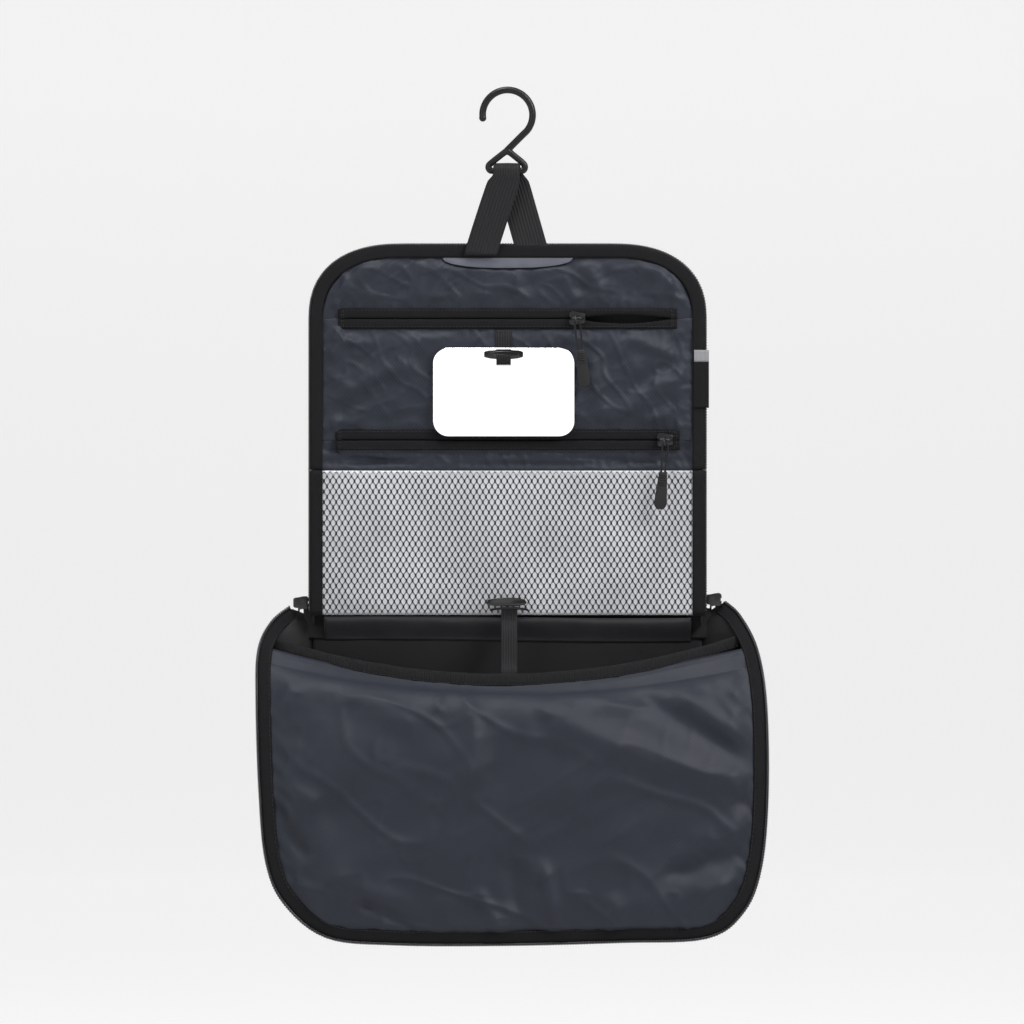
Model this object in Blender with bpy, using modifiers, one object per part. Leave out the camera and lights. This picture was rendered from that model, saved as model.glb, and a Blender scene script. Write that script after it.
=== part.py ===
"""Hanging toiletry bag: a hook on a webbing strap, a padded two-part flap with zipped pockets,
a mirror and a mesh pocket, and a zipped pouch that folds up against the flap.

Frame: +Z up, the bag's front faces -Y. The origin is the point inside the top of the hook
that rests on the rail. Lengths below are in millimetres and are scaled to metres by MM.
"""
import math

import bmesh
import bpy
from mathutils import Euler, Matrix, Vector

MM = 0.001
GAP = 0.3  # clearance between two pieces that touch

# --- driving dimensions (mm) ---
HOOK_WIRE_R = 2.2
HOOK_R = 15.75  # centreline radius of the hook's arc
HOOK_CENTRE_Z = -HOOK_R + HOOK_WIRE_R
BAR_Z = -48.8  # lower bar of the hook's triangle
BAR_R = 2.05

WEBBING_WIDTH = 20.0
WEBBING_THICK = 1.2
PINCHED_WIDTH = 16.4  # where the webbing passes through the hook's triangle
STRAP_END_Z = -102.0

BACK_Y = 13.3  # outer face of the flap's back fabric
CLOTH = 0.8
TAPE_Y = 0.9  # front face of the zip tapes
LINING_Y = 2.0
BACKING_Y = 9.0
FOAM_Y = 10.1
FOAM_THICK = 2.1

FLAP_HALF = 125.7
FLAP_TOP = -94.2
CORNER_X = 60.0  # size of the flap's rounded corner along X and Z
CORNER_Z = 48.0
CORNER_POWER = 2.4
BEND_Z = -237.2
HINGE_Z = -329.0

COIL_R = 1.0
FLAP_COIL_INSET = 0.9
FLAP_COIL_Y = 1.9
FLAP_TAPE_INSET = 2.2
FLAP_TAPE_WIDTH = 6.8
GUSSET_INSET = 2.5
LAYER_INSET = 3.9

ZIP1_Z = -141.75
ZIP1_HALF = 106.8
ZIP1_SLIDER_X = 43.8
ZIP2_Z = -218.3
ZIP2_HALF = 108.5
ZIP2_SLIDER_X = 99.2
ZIP_HALF_HEIGHT = 6.4
ZIP_SLOT = 0.6
COIL_HALF_HEIGHT = 2.2

MIRROR = (-46.9, 42.2, -216.1, -160.3)
MIRROR_Y = -3.6
MIRROR_THICK = 1.6
MIRROR_CORNER = 9.8
SLOT_X = -2.5
SLOT_Z = -165.0

# The zip round the pouch: rim x, rim z and depth in front of the back wall, then the
# matching point of the back wall's outline, from the left end round to the right end.
POUCH_STATIONS = [
    (-138.0, -323.5, 4.0, -120.5, -331.0),
    (-149.0, -333.0, 14.0, -122.0, -337.0),
    (-156.2, -350.0, 32.0, -123.5, -352.0),
    (-156.4, -380.0, 50.0, -124.5, -380.0),
    (-154.0, -436.0, 62.0, -124.0, -425.0),
    (-149.5, -480.0, 68.0, -121.0, -462.0),
    (-138.0, -506.0, 71.0, -113.0, -483.0),
    (-112.0, -526.5, 72.0, -92.0, -498.0),
    (-70.0, -531.0, 72.0, -58.0, -502.0),
    (0.0, -531.3, 72.0, 0.0, -503.0),
    (70.0, -529.5, 72.0, 58.0, -502.0),
    (123.0, -527.0, 72.0, 92.0, -498.0),
    (146.0, -511.0, 71.0, 113.0, -483.0),
    (157.0, -484.0, 68.0, 121.0, -462.0),
    (161.4, -440.0, 62.0, 124.0, -425.0),
    (161.2, -384.0, 50.0, 124.5, -380.0),
    (156.5, -350.0, 32.0, 123.5, -352.0),
    (146.5, -329.0, 14.0, 122.0, -337.0),
    (137.0, -320.0, 4.0, 120.5, -331.0),
]
STEPS_PER_STATION = 2
RIM_TAPE_INSET = 1.6
RIM_TAPE_WIDTH = 7.4
SHELL_INSET = 3.2
PANEL_INSET = 5.5
SHELL_THICK = 1.0
GUSSET_BULGE = 5.0
MOUTH_LEFT = 3  # rim stations between which the front panel's upper edge hangs
MOUTH_SAG_Z = 23.0
MOUTH_SAG_Y = 14.0
BINDING_HEIGHT = 8.0
PANEL_COLUMNS = 14

COLOURS = {
    "outer_fabric": ((0.030, 0.033, 0.045), 0.75, 0.0),
    "lining_fabric": ((0.035, 0.039, 0.055), 0.60, 0.0),
    "webbing": ((0.012, 0.012, 0.013), 0.80, 0.0),
    "zip_tape": ((0.012, 0.012, 0.014), 0.85, 0.0),
    "zip_coil": ((0.010, 0.010, 0.011), 0.45, 0.0),
    "foam": ((0.250, 0.250, 0.260), 0.95, 0.0),
    "slider_metal": ((0.020, 0.020, 0.022), 0.35, 0.6),
    "black_plastic": ((0.010, 0.010, 0.011), 0.35, 0.0),
    "grip_rubber": ((0.014, 0.014, 0.015), 0.70, 0.0),
    "mirror_glass": ((0.900, 0.910, 0.920), 0.03, 1.0),
    "grey_facing": ((0.130, 0.130, 0.160), 0.60, 0.0),
    "mesh_film": ((0.420, 0.430, 0.450), 0.50, 0.0),
    "mesh_net": ((0.020, 0.020, 0.024), 0.80, 0.0),
}


def clear_scene():
    for obj in list(bpy.data.objects):
        bpy.data.objects.remove(obj, do_unlink=True)
    for name in ("hanging_toiletry_bag", "cutters"):
        bpy.context.scene.collection.children.link(bpy.data.collections.new(name))


def material(name):
    found = bpy.data.materials.get(name)
    if found:
        return found
    colour, roughness, metallic = COLOURS[name]
    made = bpy.data.materials.new(name)
    made.use_nodes = True
    shader = made.node_tree.nodes["Principled BSDF"]
    shader.inputs["Base Color"].default_value = (*colour, 1.0)
    shader.inputs["Roughness"].default_value = roughness
    shader.inputs["Metallic"].default_value = metallic
    return made


def add_object(name, mesh, slot, collection="hanging_toiletry_bag"):
    obj = bpy.data.objects.new(name, mesh)
    bpy.data.collections[collection].objects.link(obj)
    obj.data.materials.append(material(slot))
    return obj


def mesh_from(bm, name):
    mesh = bpy.data.meshes.new(name)
    bm.to_mesh(mesh)
    bm.free()
    return mesh


def solidify(obj, thickness, offset=-1.0):
    modifier = obj.modifiers.new("thickness", "SOLIDIFY")
    modifier.thickness = thickness * MM
    modifier.offset = offset
    modifier.use_even_offset = True
    return obj


def box(name, low, high, slot, collection="hanging_toiletry_bag"):
    """A box between two corners."""
    low, high = Vector(low) * MM, Vector(high) * MM
    bm = bmesh.new()
    bmesh.ops.create_cube(bm, size=1.0)
    bmesh.ops.scale(bm, vec=high - low, verts=bm.verts)
    obj = add_object(name, mesh_from(bm, name), slot, collection)
    obj.location = (low + high) / 2
    return obj


def ribbon(name, rows, thickness, slot, offset=-1.0):
    """A sheet through a grid of points, given as rows of (x, y, z), made solid."""
    bm = bmesh.new()
    grid = [[bm.verts.new(Vector(p) * MM) for p in row] for row in rows]
    for upper, lower in zip(grid, grid[1:]):
        for n in range(len(upper) - 1):
            bm.faces.new((upper[n], upper[n + 1], lower[n + 1], lower[n]))
    return solidify(add_object(name, mesh_from(bm, name), slot), thickness, offset)


def panel(name, outline, y, thickness, slot):
    """A flat sheet with the given (x, z) outline. Its front face is at y."""
    bm = bmesh.new()
    verts = [bm.verts.new((x * MM, (y + thickness) * MM, z * MM)) for x, z in outline]
    face = bm.faces.new(verts)
    face.normal_update()
    if face.normal.y < 0:
        face.normal_flip()
    drawn = bmesh.ops.extrude_face_region(bm, geom=[face])
    front = [v for v in drawn["geom"] if isinstance(v, bmesh.types.BMVert)]
    bmesh.ops.translate(bm, vec=(0, -thickness * MM, 0), verts=front)
    bmesh.ops.recalc_face_normals(bm, faces=bm.faces)
    return add_object(name, mesh_from(bm, name), slot)


def tube(name, points, radius, slot, cyclic=False, resolution=2):
    """A round bar or cord along a line of points, with filled ends."""
    curve = bpy.data.curves.new(name, "CURVE")
    curve.dimensions = "3D"
    curve.bevel_depth = radius * MM
    curve.bevel_resolution = resolution
    curve.use_fill_caps = not cyclic
    spline = curve.splines.new("POLY")
    spline.points.add(len(points) - 1)
    for knot, p in zip(spline.points, points):
        knot.co = (p[0] * MM, p[1] * MM, p[2] * MM, 1.0)
    spline.use_cyclic_u = cyclic
    return add_object(name, curve, slot)


def as_mesh(obj):
    """The object's evaluated shape as a welded mesh object of the same name."""
    depsgraph = bpy.context.evaluated_depsgraph_get()
    mesh = bpy.data.meshes.new_from_object(obj.evaluated_get(depsgraph))
    bm = bmesh.new()
    bm.from_mesh(mesh)
    bmesh.ops.remove_doubles(bm, verts=bm.verts, dist=1e-6)
    bmesh.ops.recalc_face_normals(bm, faces=bm.faces)
    bm.to_mesh(mesh)
    bm.free()
    name, place = obj.name, obj.matrix_world.copy()
    home = obj.users_collection[0]
    bpy.data.objects.remove(obj, do_unlink=True)
    made = bpy.data.objects.new(name, mesh)
    home.objects.link(made)
    made.matrix_world = place
    return made


def combine(obj, other, operation):
    """Join or cut obj with other, which becomes a hidden guide."""
    step = obj.modifiers.new(operation.lower(), "BOOLEAN")
    step.operation = operation
    step.object = other
    step.solver = "EXACT"
    other.hide_render = True
    other.display_type = "WIRE"
    for home in list(other.users_collection):
        home.objects.unlink(other)
    bpy.data.collections["cutters"].objects.link(other)


def catmull(points, steps):
    """A smooth line through points of any dimension, with steps segments for each span."""
    ends = [points[0]] + list(points) + [points[-1]]
    line = []
    for n in range(len(points) - 1):
        a, b, c, d = ends[n : n + 4]
        for k in range(steps):
            t = k / steps
            line.append(
                tuple(
                    0.5 * (2 * q + (r - p) * t + (2 * p - 5 * q + 4 * r - s) * t * t
                           + (3 * q - p - 3 * r + s) * t ** 3)
                    for p, q, r, s in zip(a, b, c, d)
                )
            )
    line.append(tuple(points[-1]))
    return line


def inset_line(line, amount, inward):
    """Shift a line of (x, z) sideways; inward is 1 or -1 for the side it moves to."""
    moved = []
    for n, (x, z) in enumerate(line):
        ax, az = line[max(n - 1, 0)]
        bx, bz = line[min(n + 1, len(line) - 1)]
        length = math.hypot(bx - ax, bz - az)
        moved.append((x + inward * amount * (bz - az) / length,
                      z - inward * amount * (bx - ax) / length))
    return moved


def corner(side, steps=8):
    """The flap's rounded corner, from its side to its top, for side -1 or 1."""
    line = []
    for n in range(steps + 1):
        t = math.pi / 2 * n / steps
        x = FLAP_HALF - CORNER_X + CORNER_X * math.cos(t) ** (2 / CORNER_POWER)
        z = FLAP_TOP - CORNER_Z + CORNER_Z * math.sin(t) ** (2 / CORNER_POWER)
        line.append((side * x, z))
    return line


def flap_line(inset):
    """The upper flap's edge from its lower left, over the top, to its lower right."""
    edge = [(-FLAP_HALF, BEND_Z + GAP)] + corner(-1) + corner(1)[::-1]
    edge.append((FLAP_HALF, BEND_Z + GAP))
    line = inset_line(edge, inset, 1)
    line[0] = (-FLAP_HALF + inset, BEND_Z + GAP)
    line[-1] = (FLAP_HALF - inset, BEND_Z + GAP)
    return line


def lower_flap_line(side, inset):
    x = side * (FLAP_HALF - inset)
    return [(x, BEND_Z - GAP), (x, HINGE_Z + GAP)]


def flat_rows(outer, inner, y):
    return [[(x, y, z) for x, z in line] for line in (outer, inner)]


def wall_rows(line, front, back):
    return [[(x, y, z) for x, z in line] for y in (front, back)]


# --- hook and strap ---
def hook():
    """Wire hook: an arc over the rail, a slanting stem, and a triangle that holds the strap."""
    arc = []
    for n in range(17):
        angle = math.radians(187.0 - (187.0 + 52.7) * n / 16)
        arc.append((HOOK_R * math.cos(angle), 0, HOOK_CENTRE_Z + HOOK_R * math.sin(angle)))
    stem = [(-0.3, 0, -35.9), (-9.6, 0, -43.2), (-11.9, 0, -45.6), (-11.6, 0, -47.8), (-9.5, 0, BAR_Z)]
    bar = [(8.6, 0, BAR_Z), (10.5, 0, -47.9), (10.9, 0, -46.0), (9.4, 0, -43.6), (1.8, 0, -37.4)]
    wire = as_mesh(tube("hook", arc + stem + bar, HOOK_WIRE_R, "black_plastic"))
    ball = bmesh.new()
    bmesh.ops.create_uvsphere(ball, u_segments=12, v_segments=8, radius=(HOOK_WIRE_R + 0.2) * MM)
    apex = add_object("hook_apex", mesh_from(ball, "hook_apex"), "black_plastic", "cutters")
    apex.location = Vector((0.6, 0, -36.4)) * MM
    combine(wire, apex, "UNION")


def hanging_strap():
    """One webbing that wraps the hook's bar and comes down as two slanting legs."""
    wrap = BAR_R + GAP + WEBBING_THICK / 2 + 0.1
    slant = math.radians(17.0)
    path = [
        (-17.3, 0.0, STRAP_END_Z - 0.1, slant),
        (-13.6, -0.2, -90.0, slant),
        (-8.9, -1.05, -75.5, slant),
        (-3.6, -2.2, -59.5, slant * 0.7),
        (-0.8, -wrap, -52.0, slant * 0.2),
    ]
    for n in range(9):
        angle = math.pi * n / 8
        path.append((-0.9 + 1.0 * n / 8, -wrap * math.cos(angle), BAR_Z + wrap * math.sin(angle), 0.0))
    path += [
        (2.2, wrap, -52.0, -slant * 0.2),
        (4.4, 2.2, -59.5, -slant * 0.7),
        (8.9, 1.05, -75.5, -slant),
        (13.0, 0.2, -90.0, -slant),
        (16.4, 0.0, STRAP_END_Z - 0.1, -slant),
    ]
    rows = []
    for x, y, z, lean in path:
        pinch = PINCHED_WIDTH if z > -50.5 else WEBBING_WIDTH
        half = pinch / 2
        low_end = 0.0 if z < STRAP_END_Z else 1.0
        across = Vector((math.cos(lean), 0, -math.sin(lean) * low_end))
        rows.append([Vector((x, y, z)) - across * half, Vector((x, y, z)) + across * half])
    ribbon("hanging_strap", rows, WEBBING_THICK, "webbing", 0.0)


# --- the padded flap ---
def flap_shells():
    for half, lines in (("upper", flap_line), ("lower", None)):
        for piece, y, thick, slot, inset in (
            ("back_fabric", BACK_Y - CLOTH, CLOTH, "outer_fabric", 1.5),
            ("foam_pad", FOAM_Y, FOAM_THICK, "foam", LAYER_INSET),
            ("pocket_backing", BACKING_Y, CLOTH, "lining_fabric", LAYER_INSET),
        ):
            if lines:
                outline = lines(inset)
            else:
                outline = lower_flap_line(-1, inset) + lower_flap_line(1, inset)[::-1]
            panel(f"{piece}_{half}", outline, y, thick, slot)


def flap_edges():
    gusset_back = BACK_Y - CLOTH - GAP
    ribbon("gusset_upper", wall_rows(flap_line(GUSSET_INSET + CLOTH), LINING_Y, gusset_back),
           CLOTH, "outer_fabric", 1.0)
    outer, inner = flap_line(FLAP_TAPE_INSET), flap_line(FLAP_TAPE_INSET + FLAP_TAPE_WIDTH)
    ribbon("flap_zip_tape_upper", flat_rows(outer, inner, TAPE_Y + CLOTH / 2), CLOTH, "zip_tape", 0.0)
    coil = [(x, FLAP_COIL_Y, z) for x, z in flap_line(FLAP_COIL_INSET)]
    tube("flap_zip_coil_upper", coil, COIL_R, "zip_coil")
    for side, word in ((-1, "left"), (1, "right")):
        wall = lower_flap_line(side, GUSSET_INSET + CLOTH / 2)
        ribbon(f"gusset_lower_{word}", wall_rows(wall, LINING_Y, gusset_back), CLOTH, "outer_fabric", 0.0)
        outer = lower_flap_line(side, FLAP_TAPE_INSET)
        inner = lower_flap_line(side, FLAP_TAPE_INSET + FLAP_TAPE_WIDTH)
        ribbon(f"flap_zip_tape_lower_{word}", flat_rows(outer, inner, TAPE_Y + CLOTH / 2),
               CLOTH, "zip_tape", 0.0)
        coil = [(x, FLAP_COIL_Y, z) for x, z in lower_flap_line(side, FLAP_COIL_INSET)]
        tube(f"flap_zip_coil_lower_{word}", coil, COIL_R, "zip_coil")


def linings():
    """Three lining panels, notched so that each pocket zip has lining beyond its ends."""
    lap = 1.0  # how far a lining edge goes behind the zip tape
    side = FLAP_HALF - LAYER_INSET
    top = [(x, z) for x, z in flap_line(LAYER_INSET) if z > ZIP1_Z + ZIP_HALF_HEIGHT]
    low = ZIP1_Z + ZIP_HALF_HEIGHT - lap
    panel("lining_top", [(-side, low)] + top + [(side, low)], LINING_Y, CLOTH, "lining_fabric")
    notch1, notch2 = ZIP1_HALF - lap, ZIP2_HALF - lap
    z1_top, z1_low = low - GAP, ZIP1_Z - ZIP_HALF_HEIGHT + lap
    z2_top, z2_low = ZIP2_Z + ZIP_HALF_HEIGHT - lap, ZIP2_Z - ZIP_HALF_HEIGHT + lap
    middle = [(-side, z2_top), (-side, z1_top), (-notch1, z1_top), (-notch1, z1_low)]
    middle += [(notch1, z1_low), (notch1, z1_top), (side, z1_top), (side, z2_top)]
    panel("lining_middle", middle, LINING_Y, CLOTH, "lining_fabric")
    low_edge = BEND_Z + GAP
    lower = [(-side, low_edge), (-side, z2_top - GAP), (-notch2, z2_top - GAP), (-notch2, z2_low)]
    lower += [(notch2, z2_low), (notch2, z2_top - GAP), (side, z2_top - GAP), (side, low_edge)]
    panel("lining_lower", lower, LINING_Y, CLOTH, "lining_fabric")
    facing = [(-40.6, -103.6)] + [
        (40.6 * math.cos(math.pi * (1 + n / 10)), -104.6 + 4.7 * math.sin(math.pi * (1 + n / 10)))
        for n in range(11)
    ] + [(40.6, -103.6)]
    panel("hook_pocket_facing", facing, TAPE_Y, CLOTH, "grey_facing")
    box("side_label", (117.5, -0.2, -198.1), (127.0, 0.6, -161.6), "webbing")


def zip_edge(x, start, end, parting):
    """How far the zip's edge parts from its closed line at x, between start and end."""
    if x <= start or x >= end:
        return 0.0
    return parting * math.sin(math.pi * (x - start) / (end - start)) ** 0.8


def pocket_zip(name, z, half, slider_x, open_up, open_down):
    """Two tapes and their coils; right of the slider the edges part if asked."""
    stop = half - 4.0
    count = 12
    opened = [slider_x + (stop - slider_x) * n / count for n in range(count + 1)]
    xs = [-half] + opened + [half] if open_up else [-half, half]
    for word, sign, parting in (("upper", 1, open_up), ("lower", -1, open_down)):
        edge = [(x, z + sign * (ZIP_SLOT / 2 + zip_edge(x, slider_x, stop, parting))) for x in xs]
        outer = [(x, z + sign * ZIP_HALF_HEIGHT) for x in xs]
        rows = flat_rows(outer, edge, TAPE_Y + CLOTH / 2)
        ribbon(f"{name}_tape_{word}", rows, CLOTH, "zip_tape", 0.0)
        if open_up:
            middle = COIL_HALF_HEIGHT / 2 + 0.1
            line = [(x, LINING_Y + COIL_R + 0.1, z + sign * (middle + zip_edge(x, slider_x, stop, parting)))
                    for x in opened]
            tube(f"{name}_coil_{word}", line, 0.9, "zip_coil")
    closed_end = slider_x - GAP if open_up else stop
    box(f"{name}_coil_closed", (-stop, LINING_Y, z - COIL_HALF_HEIGHT),
        (closed_end, LINING_Y + 1.4, z + COIL_HALF_HEIGHT), "zip_coil")


# --- zip sliders and pulls ---
BODY = ((-5.0, -1.7, -4.2), (5.0, 0.6, 4.2))
BRIDGE = ((-3.6, -6.4, -0.7), (3.6, -1.2, 0.7))
BRIDGE_HOLE = ((-2.4, -5.2, -2.0), (2.4, -1.7, 2.0))
BRIDGE_BAR_Y = -5.8
RING_R = 2.9
RING_WIRE = 0.5
RING_DROP = 1.4  # from the bridge's bar to the ring's centre
RING_TWIST = math.radians(-22.0)
RING_LEAN = math.radians(-35.0)
CORD_R = 0.5
CORD_HALF = 1.7
CORD_LENGTH = 16.5
GRIP_LENGTH = 24.0
GRIP_HALF = 4.0
GRIP_THICK = 2.6


def slider_set(name, place, tilt=0.0, flip=False):
    """A crown slider, its ring, a cord loop and a rubber grip, about the slider's centre.

    tilt swings the cord and grip to one side; flip faces the whole set backward.
    """
    base = Matrix.Translation(Vector(place) * MM)
    if flip:
        base = base @ Matrix.Rotation(math.pi, 4, "Z")
    body = box(f"{name}_slider", *BODY, "slider_metal")
    bridge = box(f"{name}_bridge", *BRIDGE, "slider_metal", collection="cutters")
    hole = box(f"{name}_bridge_hole", *BRIDGE_HOLE, "slider_metal", collection="cutters")
    for piece in (body, bridge, hole):
        piece.matrix_world = base @ Matrix.Translation(piece.location)
    combine(body, bridge, "UNION")
    combine(body, hole, "DIFFERENCE")
    hang = base @ Matrix.Translation((0, BRIDGE_BAR_Y * MM, 0)) @ Matrix.Rotation(RING_LEAN, 4, "X")
    ring = add_ring(f"{name}_ring")
    ring.matrix_world = hang @ Matrix.Translation((0, 0, -RING_DROP * MM)) @ Euler(
        (0, math.pi / 2, RING_TWIST)).to_matrix().to_4x4()
    low = hang @ Vector((0, 0, -(RING_DROP + RING_R) * MM))
    turned = base.to_3x3().to_4x4() @ Matrix.Rotation(tilt, 4, "Y")
    swung = Matrix.Translation(low) @ turned
    loop = [(-CORD_HALF, 0, -CORD_LENGTH)]
    loop += [(-CORD_HALF * math.cos(math.pi * n / 6), 0, CORD_HALF * math.sin(math.pi * n / 6))
             for n in range(7)]
    loop.append((CORD_HALF, 0, -CORD_LENGTH))
    cord = tube(f"{name}_pull_cord", loop, CORD_R, "webbing")
    cord.matrix_world = swung
    top, end = -CORD_LENGTH - GAP, -CORD_LENGTH - GRIP_LENGTH
    shoulder, middle = top - 1.5, end + GRIP_HALF
    outline = [(-2.0, top), (2.0, top), (2.85, shoulder), (GRIP_HALF, middle)]
    outline += [(GRIP_HALF * math.cos(a), middle - GRIP_HALF * math.sin(a))
                for a in (math.pi * n / 6 for n in range(1, 6))]
    outline += [(-GRIP_HALF, middle), (-2.85, shoulder)]
    grip = panel(f"{name}_pull_grip", outline, -GRIP_THICK / 2, GRIP_THICK, "grip_rubber")
    grip.matrix_world = swung


def add_ring(name):
    """A plain wire ring, drawn as a closed tube."""
    points = [(RING_R * math.cos(2 * math.pi * n / 16), RING_R * math.sin(2 * math.pi * n / 16), 0)
              for n in range(16)]
    return tube(name, points, RING_WIRE, "slider_metal", cyclic=True, resolution=1)


# --- mirror ---
def mirror_group():
    x0, x1, z0, z1 = MIRROR
    r = MIRROR_CORNER
    outline = []
    for cx, cz, start in ((x1 - r, z1 - r, 0), (x0 + r, z1 - r, 90), (x0 + r, z0 + r, 180), (x1 - r, z0 + r, 270)):
        for n in range(6):
            a = math.radians(start + 90 * n / 5)
            outline.append((cx + r * math.cos(a), cz + r * math.sin(a)))
    plate = panel("mirror", outline, MIRROR_Y, MIRROR_THICK, "mirror_glass")
    slot = box("mirror_slot", (SLOT_X - 7, MIRROR_Y - 2, SLOT_Z - 2.3), (SLOT_X + 7, MIRROR_Y + 4, SLOT_Z + 2.3),
               "mirror_glass", collection="cutters")
    combine(plate, slot, "DIFFERENCE")
    half = 5.3
    tab_line = [(1.3, -148.9), (-0.9, -153.5), (-0.9, SLOT_Z + 1.0), (-1.7, SLOT_Z), (MIRROR_Y + 0.1, SLOT_Z)]
    rows = [[(SLOT_X - half, y, z), (SLOT_X + half, y, z)] for y, z in tab_line]
    ribbon("mirror_tab", rows, CLOTH, "webbing", 0.0)
    bar = [(-12.0, -1.6), (-7.0, -2.7), (7.0, -2.7), (12.0, -1.6), (12.0, 1.2), (6.0, 2.7), (-6.0, 2.7), (-12.0, 1.2)]
    lens = [(SLOT_X + x, SLOT_Z + 0.4 + z) for x, z in bar]
    panel("mirror_toggle", lens, MIRROR_Y - GAP - 2.4, 2.4, "black_plastic")


# --- mesh pocket ---
def mesh_pocket():
    side = FLAP_HALF - LAYER_INSET
    top, low = BEND_Z - GAP, HINGE_Z + GAP
    panel("mesh_pocket_film", [(-side, top), (side, top), (side, low), (-side, low)], LINING_Y, 0.5, "mesh_film")
    inner = FLAP_HALF - FLAP_TAPE_INSET - FLAP_TAPE_WIDTH - GAP
    panel("mesh_pocket_net", [(-inner, top), (inner, top), (inner, low), (-inner, low)], TAPE_Y, 0.6, "mesh_net")
    arch = [(-10.5, 0.0, -325.5), (-9.5, -4.6, -325.0), (-5.5, -6.6, -324.4), (1.0, -7.2, -324.2),
            (7.5, -6.6, -324.4), (11.5, -4.6, -325.0), (12.5, 0.0, -325.5)]
    tube("elastic_loop", arch, 0.7, "webbing")
    bar = [(-12.3, -1.6), (-7.0, -2.6), (7.0, -2.6), (12.3, -1.6), (12.3, 1.2), (6.0, 2.6), (-6.0, 2.6), (-12.3, 1.2)]
    panel("strap_toggle", [(x - 0.6, z - 320.4) for x, z in bar], -5.6, 3.4, "black_plastic")


# --- pouch ---
def pouch_stations():
    return catmull(POUCH_STATIONS, STEPS_PER_STATION)


def rim_points(inset, back):
    """The rim line shifted inward by inset and backward by back, as (x, y, z)."""
    stations = pouch_stations()
    line = inset_line([(s[0], s[1]) for s in stations], inset, -1)
    return [(x, BACK_Y - s[2] + back, z) for (x, z), s in zip(line, stations)]


def pouch_shell():
    """Side and bottom gusset with the back wall, sewn from one laminated cloth."""
    stations = pouch_stations()
    rim = rim_points(SHELL_INSET, CLOTH + GAP + 1.9)
    rows = [rim]
    for share, bulge in ((0.35, 0.9), (0.7, 0.8), (1.0, 0.0)):
        row = []
        for (x, y, z), s in zip(rim, stations):
            bx, by, bz = s[3], BACK_Y - SHELL_THICK, s[4]
            outward = Vector((s[0], 0, min(s[1] - HINGE_Z, 0.0))).normalized()
            outward *= GUSSET_BULGE * bulge * min(1.0, max(0.0, s[2] - 10.0) / 30.0)
            row.append((x + (bx - x) * share + outward.x, y + (by - y) * share, z + (bz - z) * share + outward.z))
        rows.append(row)
    bm = bmesh.new()
    grid = [[bm.verts.new(Vector(p) * MM) for p in row] for row in rows]
    for upper, lower in zip(grid, grid[1:]):
        for n in range(len(upper) - 1):
            bm.faces.new((upper[n], upper[n + 1], lower[n + 1], lower[n]))
    bm.faces.new(grid[-1][::-1])
    bmesh.ops.recalc_face_normals(bm, faces=bm.faces)
    if sum(f.normal.y * f.calc_area() for f in bm.faces) < 0:
        bmesh.ops.reverse_faces(bm, faces=bm.faces)
    solidify(add_object("pouch_shell", mesh_from(bm, "pouch_shell"), "outer_fabric"), SHELL_THICK, 1.0)


def pouch_zip():
    outer = rim_points(RIM_TAPE_INSET, CLOTH / 2)
    inner = rim_points(RIM_TAPE_INSET + RIM_TAPE_WIDTH, CLOTH / 2)
    ribbon("pouch_zip_tape", [outer, inner], CLOTH, "zip_tape", 0.0)
    tube("pouch_zip_coil", rim_points(0.3, CLOTH / 2), COIL_R, "zip_coil")


def front_rows(inset=PANEL_INSET):
    """Rows of the front panel's surface, from the mouth down to the rim's bottom."""
    rim = rim_points(inset, CLOTH + GAP + 0.5)
    last = len(rim) - 1
    first = MOUTH_LEFT
    bottom = 7 * STEPS_PER_STATION
    rows = []
    for n in range(first, bottom):
        left, right = Vector(rim[n]), Vector(rim[last - n])
        fade = 1.0 - (n - first) / (bottom - first)
        row = []
        for k in range(PANEL_COLUMNS + 1):
            t = k / PANEL_COLUMNS
            sag = 4 * t * (1 - t)
            point = left.lerp(right, t)
            point.z -= MOUTH_SAG_Z * sag * fade ** 1.5
            point.y -= MOUTH_SAG_Y * sag * fade ** 2
            row.append(tuple(point))
        rows.append(row)
    ground = rim[bottom : last - bottom + 1]
    rows.append([along(ground, k / PANEL_COLUMNS) for k in range(PANEL_COLUMNS + 1)])
    return rows


def along(line, t):
    """The point at the share t of a line of points, counted by points."""
    place = t * (len(line) - 1)
    n = min(int(place), len(line) - 2)
    return tuple(Vector(line[n]).lerp(Vector(line[n + 1]), place - n))


def front_panel():
    rows = front_rows()
    top = front_rows(RIM_TAPE_INSET + RIM_TAPE_WIDTH + 1.2)[0]
    lower_edge = [(x, y - 1.2, z - BINDING_HEIGHT) for x, y, z in top]
    ribbon("mouth_binding", [top, lower_edge], 1.6, "webbing", 0.0)
    start = [(x, y - 1.25, z - BINDING_HEIGHT - 2 * GAP) for x, y, z in top]
    body = [row for row in rows[1:] if row[0][2] < start[0][2] - 3.0]
    ribbon("front_panel", [start] + body, CLOTH, "lining_fabric", 0.0)


def toggle_strap():
    """Webbing from the middle of the mouth up to the toggle on the back wall."""
    mouth = front_rows()[0][PANEL_COLUMNS // 2]
    line = [(mouth[1] - 0.2, mouth[2] + 1.2), (mouth[1] + 4.0, mouth[2] + 8.0),
            (-12.0, -338.0), (-5.2, -331.0), (-3.4, -326.5), (-3.2, -323.6)]
    rows = [[(-4.0, y, z), (6.0, y, z)] for y, z in line]
    ribbon("toggle_strap", rows, WEBBING_THICK, "webbing", 0.0)


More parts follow.
